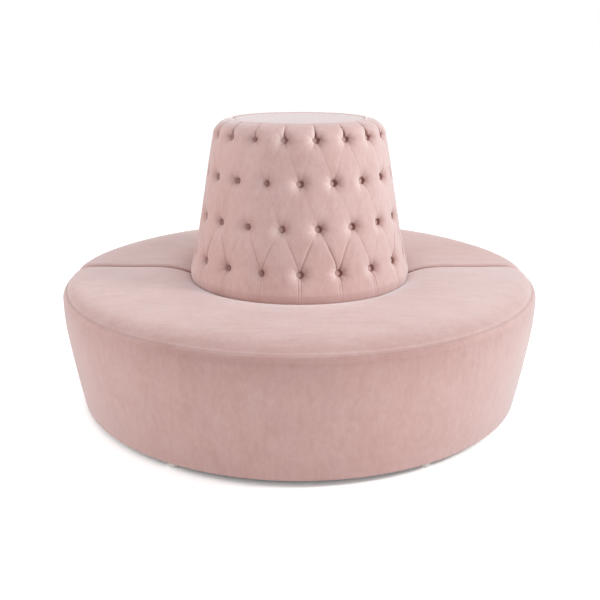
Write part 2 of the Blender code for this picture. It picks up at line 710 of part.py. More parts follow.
# The whole sofa
seat_module("rear", 1, 0.0)
seat_module("front", -1, math.pi)
link_bar("link_bar_left", -1)
link_bar("link_bar_right", 1)
drum()
cone_frame()
top_pad()
tufted_cover()
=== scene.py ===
import json
import math

import bpy
import numpy as np
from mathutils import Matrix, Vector


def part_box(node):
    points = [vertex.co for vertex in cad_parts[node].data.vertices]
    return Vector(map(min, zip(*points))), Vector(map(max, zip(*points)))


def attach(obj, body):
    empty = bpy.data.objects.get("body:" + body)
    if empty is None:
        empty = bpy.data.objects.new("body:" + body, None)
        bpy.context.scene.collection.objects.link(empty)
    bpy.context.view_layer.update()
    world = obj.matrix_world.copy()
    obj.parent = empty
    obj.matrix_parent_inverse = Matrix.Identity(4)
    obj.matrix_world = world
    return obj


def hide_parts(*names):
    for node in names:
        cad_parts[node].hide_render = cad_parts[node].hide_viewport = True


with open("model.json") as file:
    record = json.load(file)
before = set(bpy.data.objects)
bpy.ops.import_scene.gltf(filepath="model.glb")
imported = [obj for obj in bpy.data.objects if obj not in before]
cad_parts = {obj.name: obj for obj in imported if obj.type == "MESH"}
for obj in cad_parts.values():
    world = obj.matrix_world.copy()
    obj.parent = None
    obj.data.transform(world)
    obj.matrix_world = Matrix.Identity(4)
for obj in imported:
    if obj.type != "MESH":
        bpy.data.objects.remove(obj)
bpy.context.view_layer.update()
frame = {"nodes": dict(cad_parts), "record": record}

rng = np.random.default_rng(18)
print("frame loaded:", len(frame["nodes"]), "nodes")

# The photograph's camera, fitted to the sofa's outline, seam and buttons
cameraView = {
    "place": (0.0018, -2.7, 1.160),
    "pitchDown": 17.58,
    "sensorWidth": 36.0,
    "lens": 47.76,
}

# Sizes that the pieces share, in metres; all but two are as the CAD has them
sofa = {
    "seatRadius": 0.800,
    "seamRadius": 0.791,  # the rim seam, 3 mm further out than in the CAD
    "rimHeight": 0.406,
    "bandTop": 0.399,
    "hemHeight": 0.0183,
    "deckHeight": 0.300,
    "contactRadius": 0.374,  # the backrest's foot, 8 mm further out than in the CAD
    "seatAtCone": 0.404,
    "wallLean": 0.042,
    "wallLeanPower": 1.7,
    "wallPadding": 0.016,
    "splitGap": 0.002,
    "clearance": 0.0003,
}


# Formulas that the pieces share

def between(low, high, share):
    # Low plus the share of the way to high
    return low + (high - low) * share


def smoothStep(value, start, end):
    # From 0 at start to 1 at end, with level ends: three squares less two cubes of the share
    share = np.clip((value - start) / (end - start), 0.0, 1.0)
    return share * share * (3.0 - 2.0 * share)


def bell(distance, height, reach, power):
    # Height times the exponential of less a power of the distance over the reach
    return height * np.exp(-(distance / reach) ** power)


def quarterFall(distance, width):
    # 1 at no distance, falling to 0 at the given width along a quarter circle
    reach = np.clip(1.0 - distance / width, 0.0, 1.0)
    return 1.0 - np.sqrt(1.0 - reach ** 2)


def ripple(x, y, waves):
    # A sum of sines over the plane, each wave given by its length, turn, phase and height
    total = np.zeros_like(x)
    for length, turn, phase, height in waves:
        along = x * math.cos(turn) + y * math.sin(turn)
        total += height * np.sin(2.0 * math.pi * along / length + phase)
    return total


def arc(centre, width, height, start, end, count):
    # Points on an ellipse from the angle start to end in degrees: the centre plus the width times
    # the cosine and the height times the sine
    turn = np.radians(np.linspace(start, end, count))
    return joined(centre[0] + width * np.cos(turn), centre[1] + height * np.sin(turn))


def joined(radius, height):
    # Points of a section from their radii and heights
    return np.stack((radius, height), axis=-1)


def evenTurns(sides):
    # The angles of the corners of an even polygon
    return 2.0 * math.pi * np.arange(sides) / sides


def aroundAxis(radius, turn, height):
    # Points round the upright axis, turned from the front: radius times sine, and less radius
    # times cosine
    radius, turn, height = np.broadcast_arrays(radius, turn, height)
    return np.stack((radius * np.sin(turn), -radius * np.cos(turn), height), axis=-1)


# Meshes from grids

def signedVolume(points, triangles):
    # A sixth of the sum of each triangle's triple product, positive when faces point outwards
    a, b, c = (points[triangles[:, corner]] for corner in range(3))
    return float(np.einsum("ij,ij->i", a, np.cross(b, c)).sum()) / 6.0


def meshFromFaces(name, points, faces, crushed=None):
    # faces is a list of index arrays, each with its own number of corners. The last argument
    # gives each point's painted shading: 1 is painted dark, 0 plain, and -1 painted light.
    mesh = bpy.data.meshes.new(name)
    mesh.from_pydata(points.tolist(), [], [face for part in faces for face in part.tolist()])
    if crushed is not None:
        layer = mesh.attributes.new("crushed", "FLOAT", "POINT")
        layer.data.foreach_set("value", np.clip(crushed, -1.0, 1.0).astype(np.float32))
    mesh.validate()
    mesh.shade_smooth()
    return mesh


def closedShape(grid, wrapRows=False, cuts=None, bulge=0.0):
    # grid is rows x columns x 3 and its columns wrap; where the rows don't wrap, the first and the
    # last row are closed by a fan round their mean point. bulge moves the first of these points on
    # by a share of its way from the second row. cuts gives each cell's diagonal.
    points = grid.reshape(-1, 3)
    index = np.arange(len(points)).reshape(grid.shape[:2])
    lower, upper = (index, np.roll(index, -1, axis=0)) if wrapRows else (index[:-1], index[1:])
    corners = (lower, np.roll(lower, -1, axis=1), np.roll(upper, -1, axis=1), upper)
    cells = np.stack(corners, axis=-1).reshape(-1, 4)
    if cuts is None:
        faces = [cells]
    else:
        rising, falling = cells[cuts.reshape(-1)], cells[~cuts.reshape(-1)]
        faces = [rising[:, [0, 1, 2]], rising[:, [0, 2, 3]],
                 falling[:, [0, 1, 3]], falling[:, [1, 2, 3]]]
    if not wrapRows:
        start, second, end = (grid[row].mean(axis=0) for row in (0, 1, -1))
        for middle, ring in enumerate((index[0, ::-1], index[-1]), len(points)):
            hub = np.full(len(ring), middle)
            faces.append(np.stack((hub, ring, np.roll(ring, -1)), axis=-1))
        points = np.concatenate((points, [start + (start - second) * bulge, end]))
    triangles = np.concatenate([part[:, :3] for part in faces]
                               + [part[:, [0, 2, 3]] for part in faces if part.shape[1] == 4])
    if signedVolume(points, triangles) < 0:
        faces = [part[:, ::-1] for part in faces]
    return points, faces


def closedGrid(name, grid, crushed=None, wrapRows=False, cuts=None):
    # A mesh of one closed shape. The points that close its ends take the painted shading of the
    # points beside.
    points, faces = closedShape(grid, wrapRows, cuts)
    if crushed is not None:
        crushed = np.broadcast_to(crushed, grid.shape[:2]).reshape(-1)
        if not wrapRows:
            crushed = np.concatenate((crushed, crushed[:1], crushed[-1:]))
    return meshFromFaces(name, points, faces, crushed)


def addToScene(name, data):
    # A new object that holds the given mesh, lamp or camera
    item = bpy.data.objects.new(name, data)
    bpy.context.scene.collection.objects.link(item)
    return item


def addPiece(name, mesh, slot, nodes):
    # A finished piece rides on the root body and takes its slot's material
    item = addToScene(name, mesh)
    mesh.materials.append(slotMaterials[slot])
    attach(item, "root")
    if nodes:
        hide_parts(*nodes)
    return item


# Materials, all procedural on object coordinates

class Nodes:
    # Short calls for building the node tree of a material or of the world

    def __init__(self, owner, empty=False):
        # Starts from the default tree, or from an empty one
        owner.use_nodes = True
        self.owner, self.tree = owner, owner.node_tree
        if empty:
            self.tree.nodes.clear()
        else:
            self.coordinates = self.add("ShaderNodeTexCoord").outputs["Object"]

    def add(self, kind, inputs=None):
        # A new node, whose inputs are given by name or number
        node = self.tree.nodes.new(kind)
        self.fill(node, inputs or {})
        return node

    def fill(self, node, inputs):
        # Each input is linked to a socket or to a node's first output, or else set to a value
        for key, value in inputs.items():
            if isinstance(value, bpy.types.Node):
                value = value.outputs[0]
            if isinstance(value, bpy.types.NodeSocket):
                self.tree.links.new(value, node.inputs[key])
            else:
                node.inputs[key].default_value = value

    def finish(self, inputs):
        # The finished material, with these inputs of its plain shader
        self.fill(self.tree.nodes["Principled BSDF"], inputs)
        return self.owner

    def pattern(self, scale, detail=None, roughness=None, stretch=None):
        # Noise, or the distances of a cell pattern where no detail is given
        if detail is None:
            return self.add("ShaderNodeTexVoronoi", {"Vector": self.coordinates,
                                                     "Scale": scale}).outputs["Distance"]
        vector = self.coordinates
        if stretch:
            vector = self.add("ShaderNodeMapping", {"Vector": vector, "Scale": stretch})
        return self.add("ShaderNodeTexNoise", {"Vector": vector, "Scale": scale, "Detail": detail,
                                               "Roughness": roughness}).outputs["Fac"]

    def axes(self, vector, names):
        # The three parts of a vector under their names
        return dict(zip(names, self.add("ShaderNodeSeparateXYZ", {"Vector": vector}).outputs))

    def math(self, operation, first, second):
        # The named operation on two values
        node = self.add("ShaderNodeMath", {0: first, 1: second})
        node.operation = operation
        return node.outputs["Value"]

    def weighed(self, first, second, shares):
        # The sum of both, each times its share
        return self.math("ADD", self.math("MULTIPLY", first, shares[0]),
                         self.math("MULTIPLY", second, shares[1]))

    def spread(self, value, low, high, newLow=0.0, newHigh=1.0):
        # The value's range from low to high is spread evenly over the new range, and clipped there
        return self.add("ShaderNodeMapRange", {
            "Value": value, "From Min": low, "From Max": high,
            "To Min": newLow, "To Max": newHigh}).outputs["Result"]

    def blend(self, share, first, second):
        # The first colour plus the share of the way to the second
        node = self.tree.nodes.new("ShaderNodeMix")
        node.data_type = "RGBA"
        first, second = ((*colour, 1.0) if isinstance(colour, tuple) else colour
                         for colour in (first, second))
        self.fill(node, {0: share, 6: first, 7: second})
        return node.outputs[2]

    def bump(self, height, distance, strength, normal=None):
        # The normal leans down the slope of the height times the distance
        inputs = {"Height": height, "Distance": distance, "Strength": strength}
        if normal is not None:
            inputs["Normal"] = normal
        return self.add("ShaderNodeBump", inputs)


lyingCloth = ("normalZ", 0.4, 0.7, 0.0, 1.0)
velvetLook = {
    # Each noise's scale, detail and roughness, and how it is stretched
    "noises": {
        "clouds": (3.2, 4.0, 0.55),
        "streaks": (11.0, 3.0, 0.6, (1.3, 1.3, 0.8)),
        "patches": (9.0, 2.0, 0.5),
        "nap": (60.0, 4.0, 0.75, (1.2, 1.2, 0.7)),
        "pile": (900.0, 2.0, 0.6),
        "across": (26.0, 5.0, 0.68, (0.45, 1.4, 1.4)),
        "upright": (26.0, 5.0, 0.68, (1.4, 1.4, 0.45)),
    },
    "brushed": (0.55, 0.45),  # shares of clouds and streaks in the ground tone
    "groundRange": (0.36, 0.64),
    "tones": {
        "deep": (0.540, 0.342, 0.315),
        "light": (0.625, 0.428, 0.402),
        "cool": (0.575, 0.415, 0.425),
        "pale": (0.600, 0.485, 0.475),
        "warm": (0.645, 0.402, 0.368),
        "right": (0.590, 0.490, 0.475),
        "left": (0.560, 0.340, 0.305),
        "rear": (0.550, 0.350, 0.315),
        "speck": (0.360, 0.200, 0.185),
        "crushed": (0.190, 0.078, 0.068),
        "raised": (0.840, 0.690, 0.660),
    },
    # Tints over the ground, in turn: a tone, then the ramps whose product is its share. A ramp
    # says what it follows, the values it runs between, and what it gives at each.
    "tints": (
        ("cool", ("patches", 0.45, 0.75, 0.0, 0.30)),
        ("pale", ("normalZ", 0.2, 1.0, 0.0, 0.25)),  # painted sheen on level cloth
        ("pale", ("z", 0.40, 0.60, 0.0, 0.18)),  # painted light, growing higher up the backrest
        ("warm", ("z", 0.395, 0.405, 0.42, 0.0)),  # the bands below the rim warmer and a little lighter
        ("right", ("normalX", 0.35, 0.95, 0.0, 0.50)),  # painted sheen on sides facing right
        # Painted sheen on the right part of the front seat's level cloth
        ("right", lyingCloth, ("y", 0.0, 0.1, 1.0, 0.0), ("x", 0.2, 0.8, 0.0, 0.50)),
        # Painted shade on the backrest's left flank
        ("left", ("z", 0.42, 0.47, 0.0, 1.0), ("normalX", -0.35, -0.95, 0.0, 0.55)),
        ("rear", lyingCloth, ("y", 0.0, 0.2, 0.0, 0.70)),
        ("speck", ("pile", 0.3, 0.7, 0.0, 0.16)),
        ("speck", ("nap", 0.30, 0.70, 0.20, 0.0)),
        ("pale", ("nap", 0.50, 0.80, 0.0, 0.16)),
        ("speck", ("wisps", 0.32, 0.50, 0.13, 0.0)),
        ("pale", ("wisps", 0.52, 0.72, 0.0, 1.0), ("normalZ", 0.2, 0.9, 0.10, 0.34)),
        ("crushed", ("crushed", 0.0, 1.0, 0.0, 1.0)),  # painted shade in dimples, holes, notches, creases, seams and the split
        ("raised", ("crushed", 0.0, -1.0, 0.0, 1.0)),  # painted highlight, where the painted shading is negative
    ),
    "sheen": {"Sheen Weight": 0.60, "Sheen Roughness": 0.36, "Sheen Tint": (0.94, 0.97, 1.0, 1.0),
              "Specular IOR Level": 0.15},
    "roughness": ("clouds", 0.3, 0.7, 0.77, 0.90),
    "pileBump": ("pile", 0.0006, 0.5),
    "brushBump": ("streaks", 0.0012, 0.35),
}


def makeVelvet(look):
    # Short pile. Brushed clouds and streaks set the ground tone, and tints are blended over it by
    # their share: the product of ramps of a noise, the normal, the place or the painted shading
    # attribute. Several tints are painted light, sheen and shade.
    nodes = Nodes(bpy.data.materials.new("blushVelvet"))
    tones = look["tones"]
    follow = {name: nodes.pattern(*noise) for name, noise in look["noises"].items()}
    normal = nodes.add("ShaderNodeNewGeometry").outputs["Normal"]
    follow |= nodes.axes(normal, ("normalX", "normalY", "normalZ"))
    follow |= nodes.axes(nodes.coordinates, "xyz")
    shadingAttribute = nodes.add("ShaderNodeAttribute")
    shadingAttribute.attribute_name = "crushed"
    follow["crushed"] = shadingAttribute.outputs["Fac"]
    # Brush strokes run across level cloth, and up and down on upright cloth
    name, *ramp = lyingCloth
    lying = nodes.spread(follow[name], *ramp)
    follow["wisps"] = nodes.weighed(follow["across"], follow["upright"],
                                    (lying, nodes.math("SUBTRACT", 1.0, lying)))
    brushed = nodes.weighed(follow["clouds"], follow["streaks"], look["brushed"])
    colour = nodes.blend(nodes.spread(brushed, *look["groundRange"]), tones["deep"],
                         tones["light"])
    for tone, *ramps in look["tints"]:
        share = None
        for name, *ramp in ramps:
            step = nodes.spread(follow[name], *ramp)
            share = step if share is None else nodes.math("MULTIPLY", share, step)
        colour = nodes.blend(share, colour, tones[tone])
    bump = None
    for name, *depth in (look["pileBump"], look["brushBump"]):
        bump = nodes.bump(follow[name], *depth, bump)
    name, *ramp = look["roughness"]
    return nodes.finish({"Base Color": colour, "Roughness": nodes.spread(follow[name], *ramp),
                         "Normal": bump, **look["sheen"]})


# The other finishes. The broad pattern sets the tone between dark and light, and the fine one the
# bump and the pores. A pattern is a noise, given as for the velvet, or the scale of its cells.
finishLooks = {
    "plywood": {  # rotary-cut birch: long grain along X, wavy rings
        "name": "birchPlywood", "dark": (0.45, 0.31, 0.18), "light": (0.67, 0.51, 0.33),
        "broad": (6.0, 6.0, 0.6, (0.35, 7.0, 7.0)), "range": (0.35, 0.65),
        "fine": (300.0, 2.0, 0.6, (0.2, 1.0, 1.0)), "pores": (0.5, 0.75, 0.0, 0.3),
        "roughness": ("broad", 0.3, 0.7, 0.5, 0.68), "bump": (0.0004, 0.4),
    },
    "foam": {  # open cells
        "name": "openCellFoam", "dark": (0.62, 0.55, 0.40), "light": (0.80, 0.74, 0.58),
        "broad": (550.0,), "range": (0.0, 0.7), "fine": (550.0,),
        "roughness": ("broad", 0.0, 1.0, 0.95, 0.95), "bump": (0.0008, 0.6),
    },
    "lining_cloth": {  # spun-bonded: embossed dots with loose fibres
        "name": "blackLiningCloth", "dark": (0.010, 0.010, 0.011), "light": (0.035, 0.034, 0.036),
        "broad": (700.0, 3.0, 0.7, (1.0, 0.25, 1.0)), "range": (0.3, 0.7), "fine": (380.0,),
        "roughness": ("fine", 0.0, 1.0, 0.9, 0.9), "bump": (0.0003, 0.6),
    },
    "glide_plastic": {  # cloudy and lightly scuffed
        "name": "glidePlastic", "dark": (0.66, 0.63, 0.58), "light": (0.76, 0.74, 0.70),
        "broad": (40.0, 3.0, 0.6), "range": (0.3, 0.7), "fine": (420.0, 3.0, 0.65),
        "roughness": ("fine", 0.35, 0.7, 0.32, 0.55), "bump": (0.0002, 0.3),
    },
    "link_steel": {  # zinc spangle with fine scratches
        "name": "zincPlatedSteel", "dark": (0.50, 0.51, 0.52), "light": (0.68, 0.69, 0.70),
        "broad": (160.0, 4.0, 0.6), "range": (0.35, 0.65),
        "fine": (90.0, 4.0, 0.7, (14.0, 0.6, 1.0)), "metal": 1.0,
        "roughness": ("fine", 0.3, 0.7, 0.26, 0.46), "bump": (0.0002, 0.3),
    },
}
finishLooks["hardboard"] = finishLooks["plywood"] | {
    "name": "brownHardboard", "dark": (0.20, 0.115, 0.06), "light": (0.33, 0.20, 0.11),
    "broad": (6.0, 6.0, 0.6, (0.35, 21.0, 21.0)),
}


def makeFinish(look):
    # The colour runs from dark to light with the broad pattern and back to dark in the pores. The
    # roughness follows one of the patterns.
    nodes = Nodes(bpy.data.materials.new(look["name"]))
    follow = {which: nodes.pattern(*look[which]) for which in ("broad", "fine")}
    colour = nodes.blend(nodes.spread(follow["broad"], *look["range"]), look["dark"],
                         look["light"])
    if "pores" in look:
        colour = nodes.blend(nodes.spread(follow["fine"], *look["pores"]), colour, look["dark"])
    which, *ramp = look["roughness"]
    return nodes.finish({"Base Color": colour, "Roughness": nodes.spread(follow[which], *ramp),
                         "Metallic": look.get("metal", 0.0),
                         "Normal": nodes.bump(follow["fine"], *look["bump"])})


slotMaterials = {"velvet": makeVelvet(velvetLook)}
slotMaterials |= {slot: makeFinish(look) for slot, look in finishLooks.items()}


def dressNodes():
    # Each carried-over CAD node takes the procedural material of its slot
    slots = {part["node"]: part["material_slot"] for part in frame["record"]["subparts"]}
    for name, item in frame["nodes"].items():
        item.data.materials.clear()
        item.data.materials.append(slotMaterials[slots[name]])


dressNodes()
print("materials made:", len(slotMaterials))


# Half-ring pieces

sweep = {
    "rollRows": 16,  # rows over the rolled end
    "endDepth": 0.070,  # beyond this distance from the split the rows turn
    "deepRows": 6,  # rows between the roll and endDepth
    "arcRows": 96,  # rows from there to the middle of the ring
    "capShares": (0.25, 0.5, 0.75, 0.93),
}


def evenSection(section, spacing):
    # The open path again with points at an even spacing along each stretch
    pieces = []
    for start, end in zip(section[:-1], section[1:]):
        count = max(1, int(math.ceil(np.linalg.norm(end - start) / spacing)))
        share = np.arange(count)[:, None] / count
        pieces.append(start + (end - start) * share)
    return np.concatenate(pieces + [section[-1:]])


def sweepHalf(section, rollWidth, shape):
    # The section is swept half round the sofa's axis. Near each end its planes stay parallel to the
    # split, and shape rounds them off there. Then each end closes to its middle. A point's place
    # across is the root of its radius squared less its distance from the split squared.
    endDepth = sweep["endDepth"]
    turn = np.linspace(math.pi / 2, 0.0, sweep["rollRows"])
    deeper = np.linspace(rollWidth, endDepth, sweep["deepRows"] + 1)[1:]
    depth = np.concatenate((rollWidth * (1.0 - np.sin(turn)), deeper))
    # Each row's depth from the split, its share of the way round, and how far its end is open
    rows = [(0.0, 0.0, share) for share in sweep["capShares"]]
    rows += [(deep, 0.0, 1.0) for deep in depth]
    rows += [(endDepth, share, 1.0) for share in np.linspace(0.0, 1.0, sweep["arcRows"] + 1)[1:]]
    deep, share, opened = np.array(rows).T[..., None]
    angle = between(np.arcsin(deep / section[:, 0]), math.pi / 2, share)
    distance = section[:, 0] * np.sin(angle)
    radius, height = shape(*section.T, distance, angle)
    middle = section.mean(axis=0)
    radius, height = between(middle[0], radius, opened), between(middle[1], height, opened)
    distance = np.minimum(distance, radius)
    grid = np.stack((np.sqrt(radius ** 2 - distance ** 2), distance, height), axis=-1)
    mirrored = grid[:-1][::-1] * np.array((-1.0, 1.0, 1.0))
    grid = np.concatenate((grid, mirrored))
    grid[..., 1] += sofa["splitGap"] / 2
    return grid


def wallRadius(height, inset=0.0):
    # The wall leans in from the band's top to the hem by the share of height left, to a power
    left = (sofa["bandTop"] - height) / (sofa["bandTop"] - sofa["hemHeight"])
    lean = sofa["wallLean"] * np.maximum(left, 0) ** sofa["wallLeanPower"]
    return sofa["seatRadius"] - lean - inset


def onFlank(grid, places=(0.25, 0.75)):
    # 0 in the middle, rising smoothly to 1 at the far left and the far right
    across = np.abs(grid[..., 0]) / np.hypot(grid[..., 0], grid[..., 1])
    return smoothStep(across, *places)


def addHalves(name, node, grid, crushed, flankShade, flankLeft, frontShading=0.0):
    # The rear half, and the front half, which is the rear one turned half round. Of flankShade,
    # painted shading that fades on the flanks, only the share flankLeft is left there, and the
    # last argument is painted shading on the front half alone.
    items = []
    front = grid * np.array((-1.0, -1.0, 1.0))
    for half, placed, halfShading in (("rear", grid, 0.0), ("front", front, frontShading)):
        shade = crushed + halfShading + flankShade * between(1.0, flankLeft, onFlank(placed))
        mesh = closedGrid(half + name, placed, shade)
        items.append(addPiece(half + name, mesh, "velvet", [f"{half}_{node}"]))
    return items


# Seat cushions

seatPad = {
    "crown": 0.028,
    "rimPower": 6.5,
    "conePower": 4.0,
    "topEnd": (0.004, 0.001),  # how far inside the seam and below the rim the top ends
    "weltRadius": 0.0024,
    "weltPlace": (0.0002, -0.0009),  # how far out and up it stands
    "weltTurn": (8, 118, 10),
    "weltGroove": (0.0012, 0.0022, 2.0),
    "grooveSpan": 0.42,  # the top's width, as the groove counts it
    "innerRadius": 0.3525,
    "innerRounding": (0.010, 0.006),  # across and up
    "innerDrop": 0.0004,
    "bends": (0.345, 0.350),  # heights of the bends inside and outside
    "spacing": 0.03,
    "topPoints": 72,
    "shapedHeights": (0.392, 0.432),  # rolls and waves set in between these heights
    "rollWidth": (0.024, 0.055),  # at the cone and at the outer corner
    "rollDrop": (0.020, 0.033),
    "rollPlaces": (0.715, 0.785),
    "cornerWidth": 0.044,
    "cornerPull": 0.024,
    "cornerPlaces": (0.700, 0.785),
    "cornerPower": 16.0,
    "cornerReach": 0.48,
    "waves": ((0.41, 0.4, 0.3, 0.0006), (0.29, 1.9, 1.1, 0.0005), (0.17, 2.7, 2.3, 0.00035),
              (0.11, 1.2, 0.7, 0.0002)),
    "waveEnds": ((0.75, 0.65), (0.40, 0.46)),
    # A painted shade of three values is strength, reach and power: dark in the split,
    # on the edges beside it, where the crown falls to the seam and where the backrest
    # stands, and light along the welt, where its strength is negative
    "splitShade": (1.0, 0.0060, 1.7),
    "splitEdge": (0.22, 0.014, 2.0),
    "rimShade": (0.20, 0.038, 2.0),
    "footShade": (0.5, 0.003, 1.0),
    "seamShade": (-0.24, 0.0016, 1.0),
    "seamInset": 0.0052,
    "seamFlank": 0.25,  # what is left of the painted highlight at the welt on the flanks
    "layPlaces": (0.04, 0.30, 0.70),  # the front seat's painted light and shade at these distances
    "layShades": (-0.13, 0.00, 0.055),  # from the split: light near it and dark towards the rim
}


def seatTop(pad, share):
    # Share runs from 0 at the cone to 1 at the seam. The crown is highest half way, and falls by
    # one power of the distance from there towards the seam and by another towards the cone.
    inset, drop = pad["topEnd"]
    side = 2.0 * share - 1.0
    power = np.where(side > 0, pad["rimPower"], pad["conePower"])
    radius = between(sofa["contactRadius"], sofa["seamRadius"] - inset, share)
    height = between(sofa["seatAtCone"], sofa["rimHeight"] - drop, share)
    return radius, height + pad["crown"] * (1.0 - np.abs(side) ** power)


def seatSection(pad):
    # Anticlockwise: along the bottom, up inside the band, round the welt, over the crown, down
    bottom = sofa["deckHeight"] + sofa["clearance"]
    gap = sofa["wallPadding"] + sofa["clearance"]
    lip = sofa["bandTop"] + sofa["clearance"]
    innerBend, outerBend = pad["bends"]
    lower = np.array((
        (pad["innerRadius"], innerBend),
        (pad["innerRadius"], bottom),
        (wallRadius(bottom, gap), bottom),
        (wallRadius(outerBend, gap), outerBend),
        (wallRadius(lip, gap), lip),
        (sofa["seamRadius"] - pad["topEnd"][0], lip),
    ))
    welt = pad["weltRadius"]
    out, up = pad["weltPlace"]
    nose = arc((sofa["seamRadius"] - welt + out, lip + up), welt, welt, *pad["weltTurn"])
    # Cosine spacing packs the top's points towards its two steep edges
    share = (1.0 + np.cos(np.linspace(0.0, math.pi, pad["topPoints"]))) / 2.0
    top = joined(*seatTop(pad, share))
    top[:, 1] -= bell((1.0 - share) * pad["grooveSpan"], *pad["weltGroove"])
    across, up = pad["innerRounding"]
    inner = arc((pad["innerRadius"] + across, sofa["seatAtCone"] - up - pad["innerDrop"]),
                across, up, 92, 180, 6)
    return np.concatenate((evenSection(lower, pad["spacing"]), nose, top, inner))


def seatShape(pad):
    def shape(radius, height, distance, angle):
        # The top rolls down to the split by a quarter circle, its outer corner draws in by another,
        # and slow waves lie over it
        corner = smoothStep(radius, *pad["rollPlaces"])
        width = between(*pad["rollWidth"], corner)
        fall = between(*pad["rollDrop"], corner) * quarterFall(distance, width)
        wave = ripple(radius * np.cos(angle), distance, pad["waves"])
        for ends in pad["waveEnds"]:
            wave = wave * smoothStep(radius, *ends)
        # Near the split the crown keeps its height farther out, and falls by a higher power
        topWidth = sofa["seamRadius"] - pad["topEnd"][0] - sofa["contactRadius"]
        side = np.clip(2.0 * (radius - sofa["contactRadius"]) / topWidth - 1.0, 0.0, 1.0)
        kept = pad["crown"] * (side ** pad["rimPower"] - side ** pad["cornerPower"])
        fall = fall - kept * smoothStep(distance, pad["cornerReach"], 0.0)
        pull = pad["cornerPull"] * quarterFall(distance, pad["cornerWidth"])
        pull = pull * smoothStep(radius, *pad["cornerPlaces"])
        shaped = np.interp(height, pad["shapedHeights"], (0.0, 1.0))
        return radius - pull, height - shaped * (fall + wave)
    return shape


def makeSeats(pad):
    # Painted shade in the split, where the crown falls to the seam and where the backrest
    # stands on the seat; a painted highlight along the welt; the front seat's painted light and
    # shade
    grid = sweepHalf(seatSection(pad), pad["rollWidth"][0], seatShape(pad))
    radius = np.hypot(grid[..., 0], grid[..., 1])
    depth = grid[..., 1] - sofa["splitGap"] / 2
    fromFoot = np.maximum(radius - sofa["contactRadius"], 0.0)
    fromSeam = radius - sofa["seamRadius"]
    crushed = (bell(depth, *pad["splitShade"]) + bell(depth, *pad["splitEdge"])
               + bell(fromSeam, *pad["rimShade"]) + bell(fromFoot, *pad["footShade"]))
    seam = bell(np.abs(fromSeam + pad["seamInset"]), *pad["seamShade"])
    halfShading = np.interp(depth, pad["layPlaces"], pad["layShades"])
    for item in addHalves("SeatCushion", "seat_cushion", grid, crushed, seam, pad["seamFlank"],
                          halfShading):
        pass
    print("seat cushions made")


makeSeats(seatPad)


# Side bands

bandPad = {
    "rollHeight": 0.018,
    "rollPower": 1.9,
    "rollPoints": 14,
    "rollLift": 0.0003,
    "tuck": (0.0014, 0.0010),  # how far in and down the top edge is tucked
    "hemRadius": 0.009,
    "levels": 44,
    "insideLevels": (0.350, 0.300, 0.200, 0.120, 0.060),
    "outside": (0.0025, 0.0125),  # distances from the ply over which the shaping sets in
    "belly": (0.0045, 0.105, 2.0),  # how far it swells, over what reach and by what power
    "bellyHeight": 0.300,
    "cornerWidth": 0.044,
    "cornerPull": (0.009, 0.017),  # low down and at the top
    "cornerHeights": (0.290, 0.390),
    "waves": ((0.53, 0.0, 0.4, 0.0006), (0.31, 0.5, 1.7, 0.0005), (0.19, 1.1, 0.2, 0.0003)),
    "waveEnds": ((0.05, 0.11), (0.37, 0.29)),
    # A painted shade of three values is strength, reach and power: in the split, below the rim
    # and over the rolled top
    "splitShade": (0.5, 0.0055, 1.5),
    "rimShade": (0.19, 0.085, 2.0),
    "rollShade": (0.21, 0.018, 2.0),
    "rollFlank": 0.20,  # what is left of that shade on the flanks
}


def bandSection(pad):
    # Anticlockwise: in under the hem, round its corner, up the wall, over the rolled top, which
    # leans in by a power of the share of its rise, and down inside
    hem, top, ply = sofa["hemHeight"], sofa["bandTop"], sofa["wallPadding"]
    corner, rollFoot = pad["hemRadius"], top - pad["rollHeight"]
    turned = arc((wallRadius(hem + corner) - corner, hem + corner), corner, corner, -90, -4, 9)
    heights = np.linspace(hem + corner, rollFoot, pad["levels"])[1:]
    wall = joined(wallRadius(heights), heights)
    rise = np.linspace(0.0, 1.0, pad["rollPoints"])[1:]
    rollRadius = between(sofa["seatRadius"], sofa["seamRadius"], rise ** pad["rollPower"])
    roll = joined(rollRadius, between(rollFoot, top, rise) + pad["rollLift"])
    tuckIn, tuckDown = pad["tuck"]
    levels = (top - tuckDown, *pad["insideLevels"])
    return np.concatenate(([(wallRadius(hem, ply), hem)], turned, wall, roll,
                           [(sofa["seamRadius"] - tuckIn, top - tuckDown)],
                           [(wallRadius(level, ply), level) for level in levels]))


def bandShape(pad):
    def shape(radius, height, distance, angle):
        # Only the outside swells by a bell over its height, waves, and draws in at the split by a
        # quarter circle; the back stays on the ply
        out = smoothStep(radius - wallRadius(height, sofa["wallPadding"]), *pad["outside"])
        swell = bell(height - pad["bellyHeight"], *pad["belly"])
        wave = ripple(angle * sofa["seatRadius"], height, pad["waves"])
        for ends in pad["waveEnds"]:
            wave = wave * smoothStep(height, *ends)
        pull = between(*pad["cornerPull"], smoothStep(height, *pad["cornerHeights"]))
        pull = pull * quarterFall(distance, pad["cornerWidth"])
        return radius + out * (swell + wave - pull), height
    return shape


def makeBands(pad):
    # Painted shade in the split and, less and less, below the seam and over the rolled top
    grid = sweepHalf(bandSection(pad), pad["cornerWidth"], bandShape(pad))
    below = sofa["bandTop"] - grid[..., 2]
    crushed = (bell(grid[..., 1] - sofa["splitGap"] / 2, *pad["splitShade"])
               + bell(below, *pad["rimShade"]))
    roll = bell(below, *pad["rollShade"])
    for item in addHalves("SideBand", "side_band", grid, crushed, roll, pad["rollFlank"]):
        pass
    print("side bands made")


makeBands(bandPad)


# Tufted cone cover

cone = {
    "radius": 0.378,
    "taper": 0.090,
    "curve": (1.37, -0.78, 0.41),
    "base": 0.4043,
    "low": 0.4343,
    "shoulderHeight": 0.889,
    "shoulderWidth": 0.071,
    "topHeight": 0.939,
    "topLip": 0.012,  # how far the cover goes down inside its top edge
    "thickness": 0.024,
    "buttonsPerRow": 18,
    "rows": 4,
    "lowestRow": 0.498,
    "highestRow": 0.897,
}

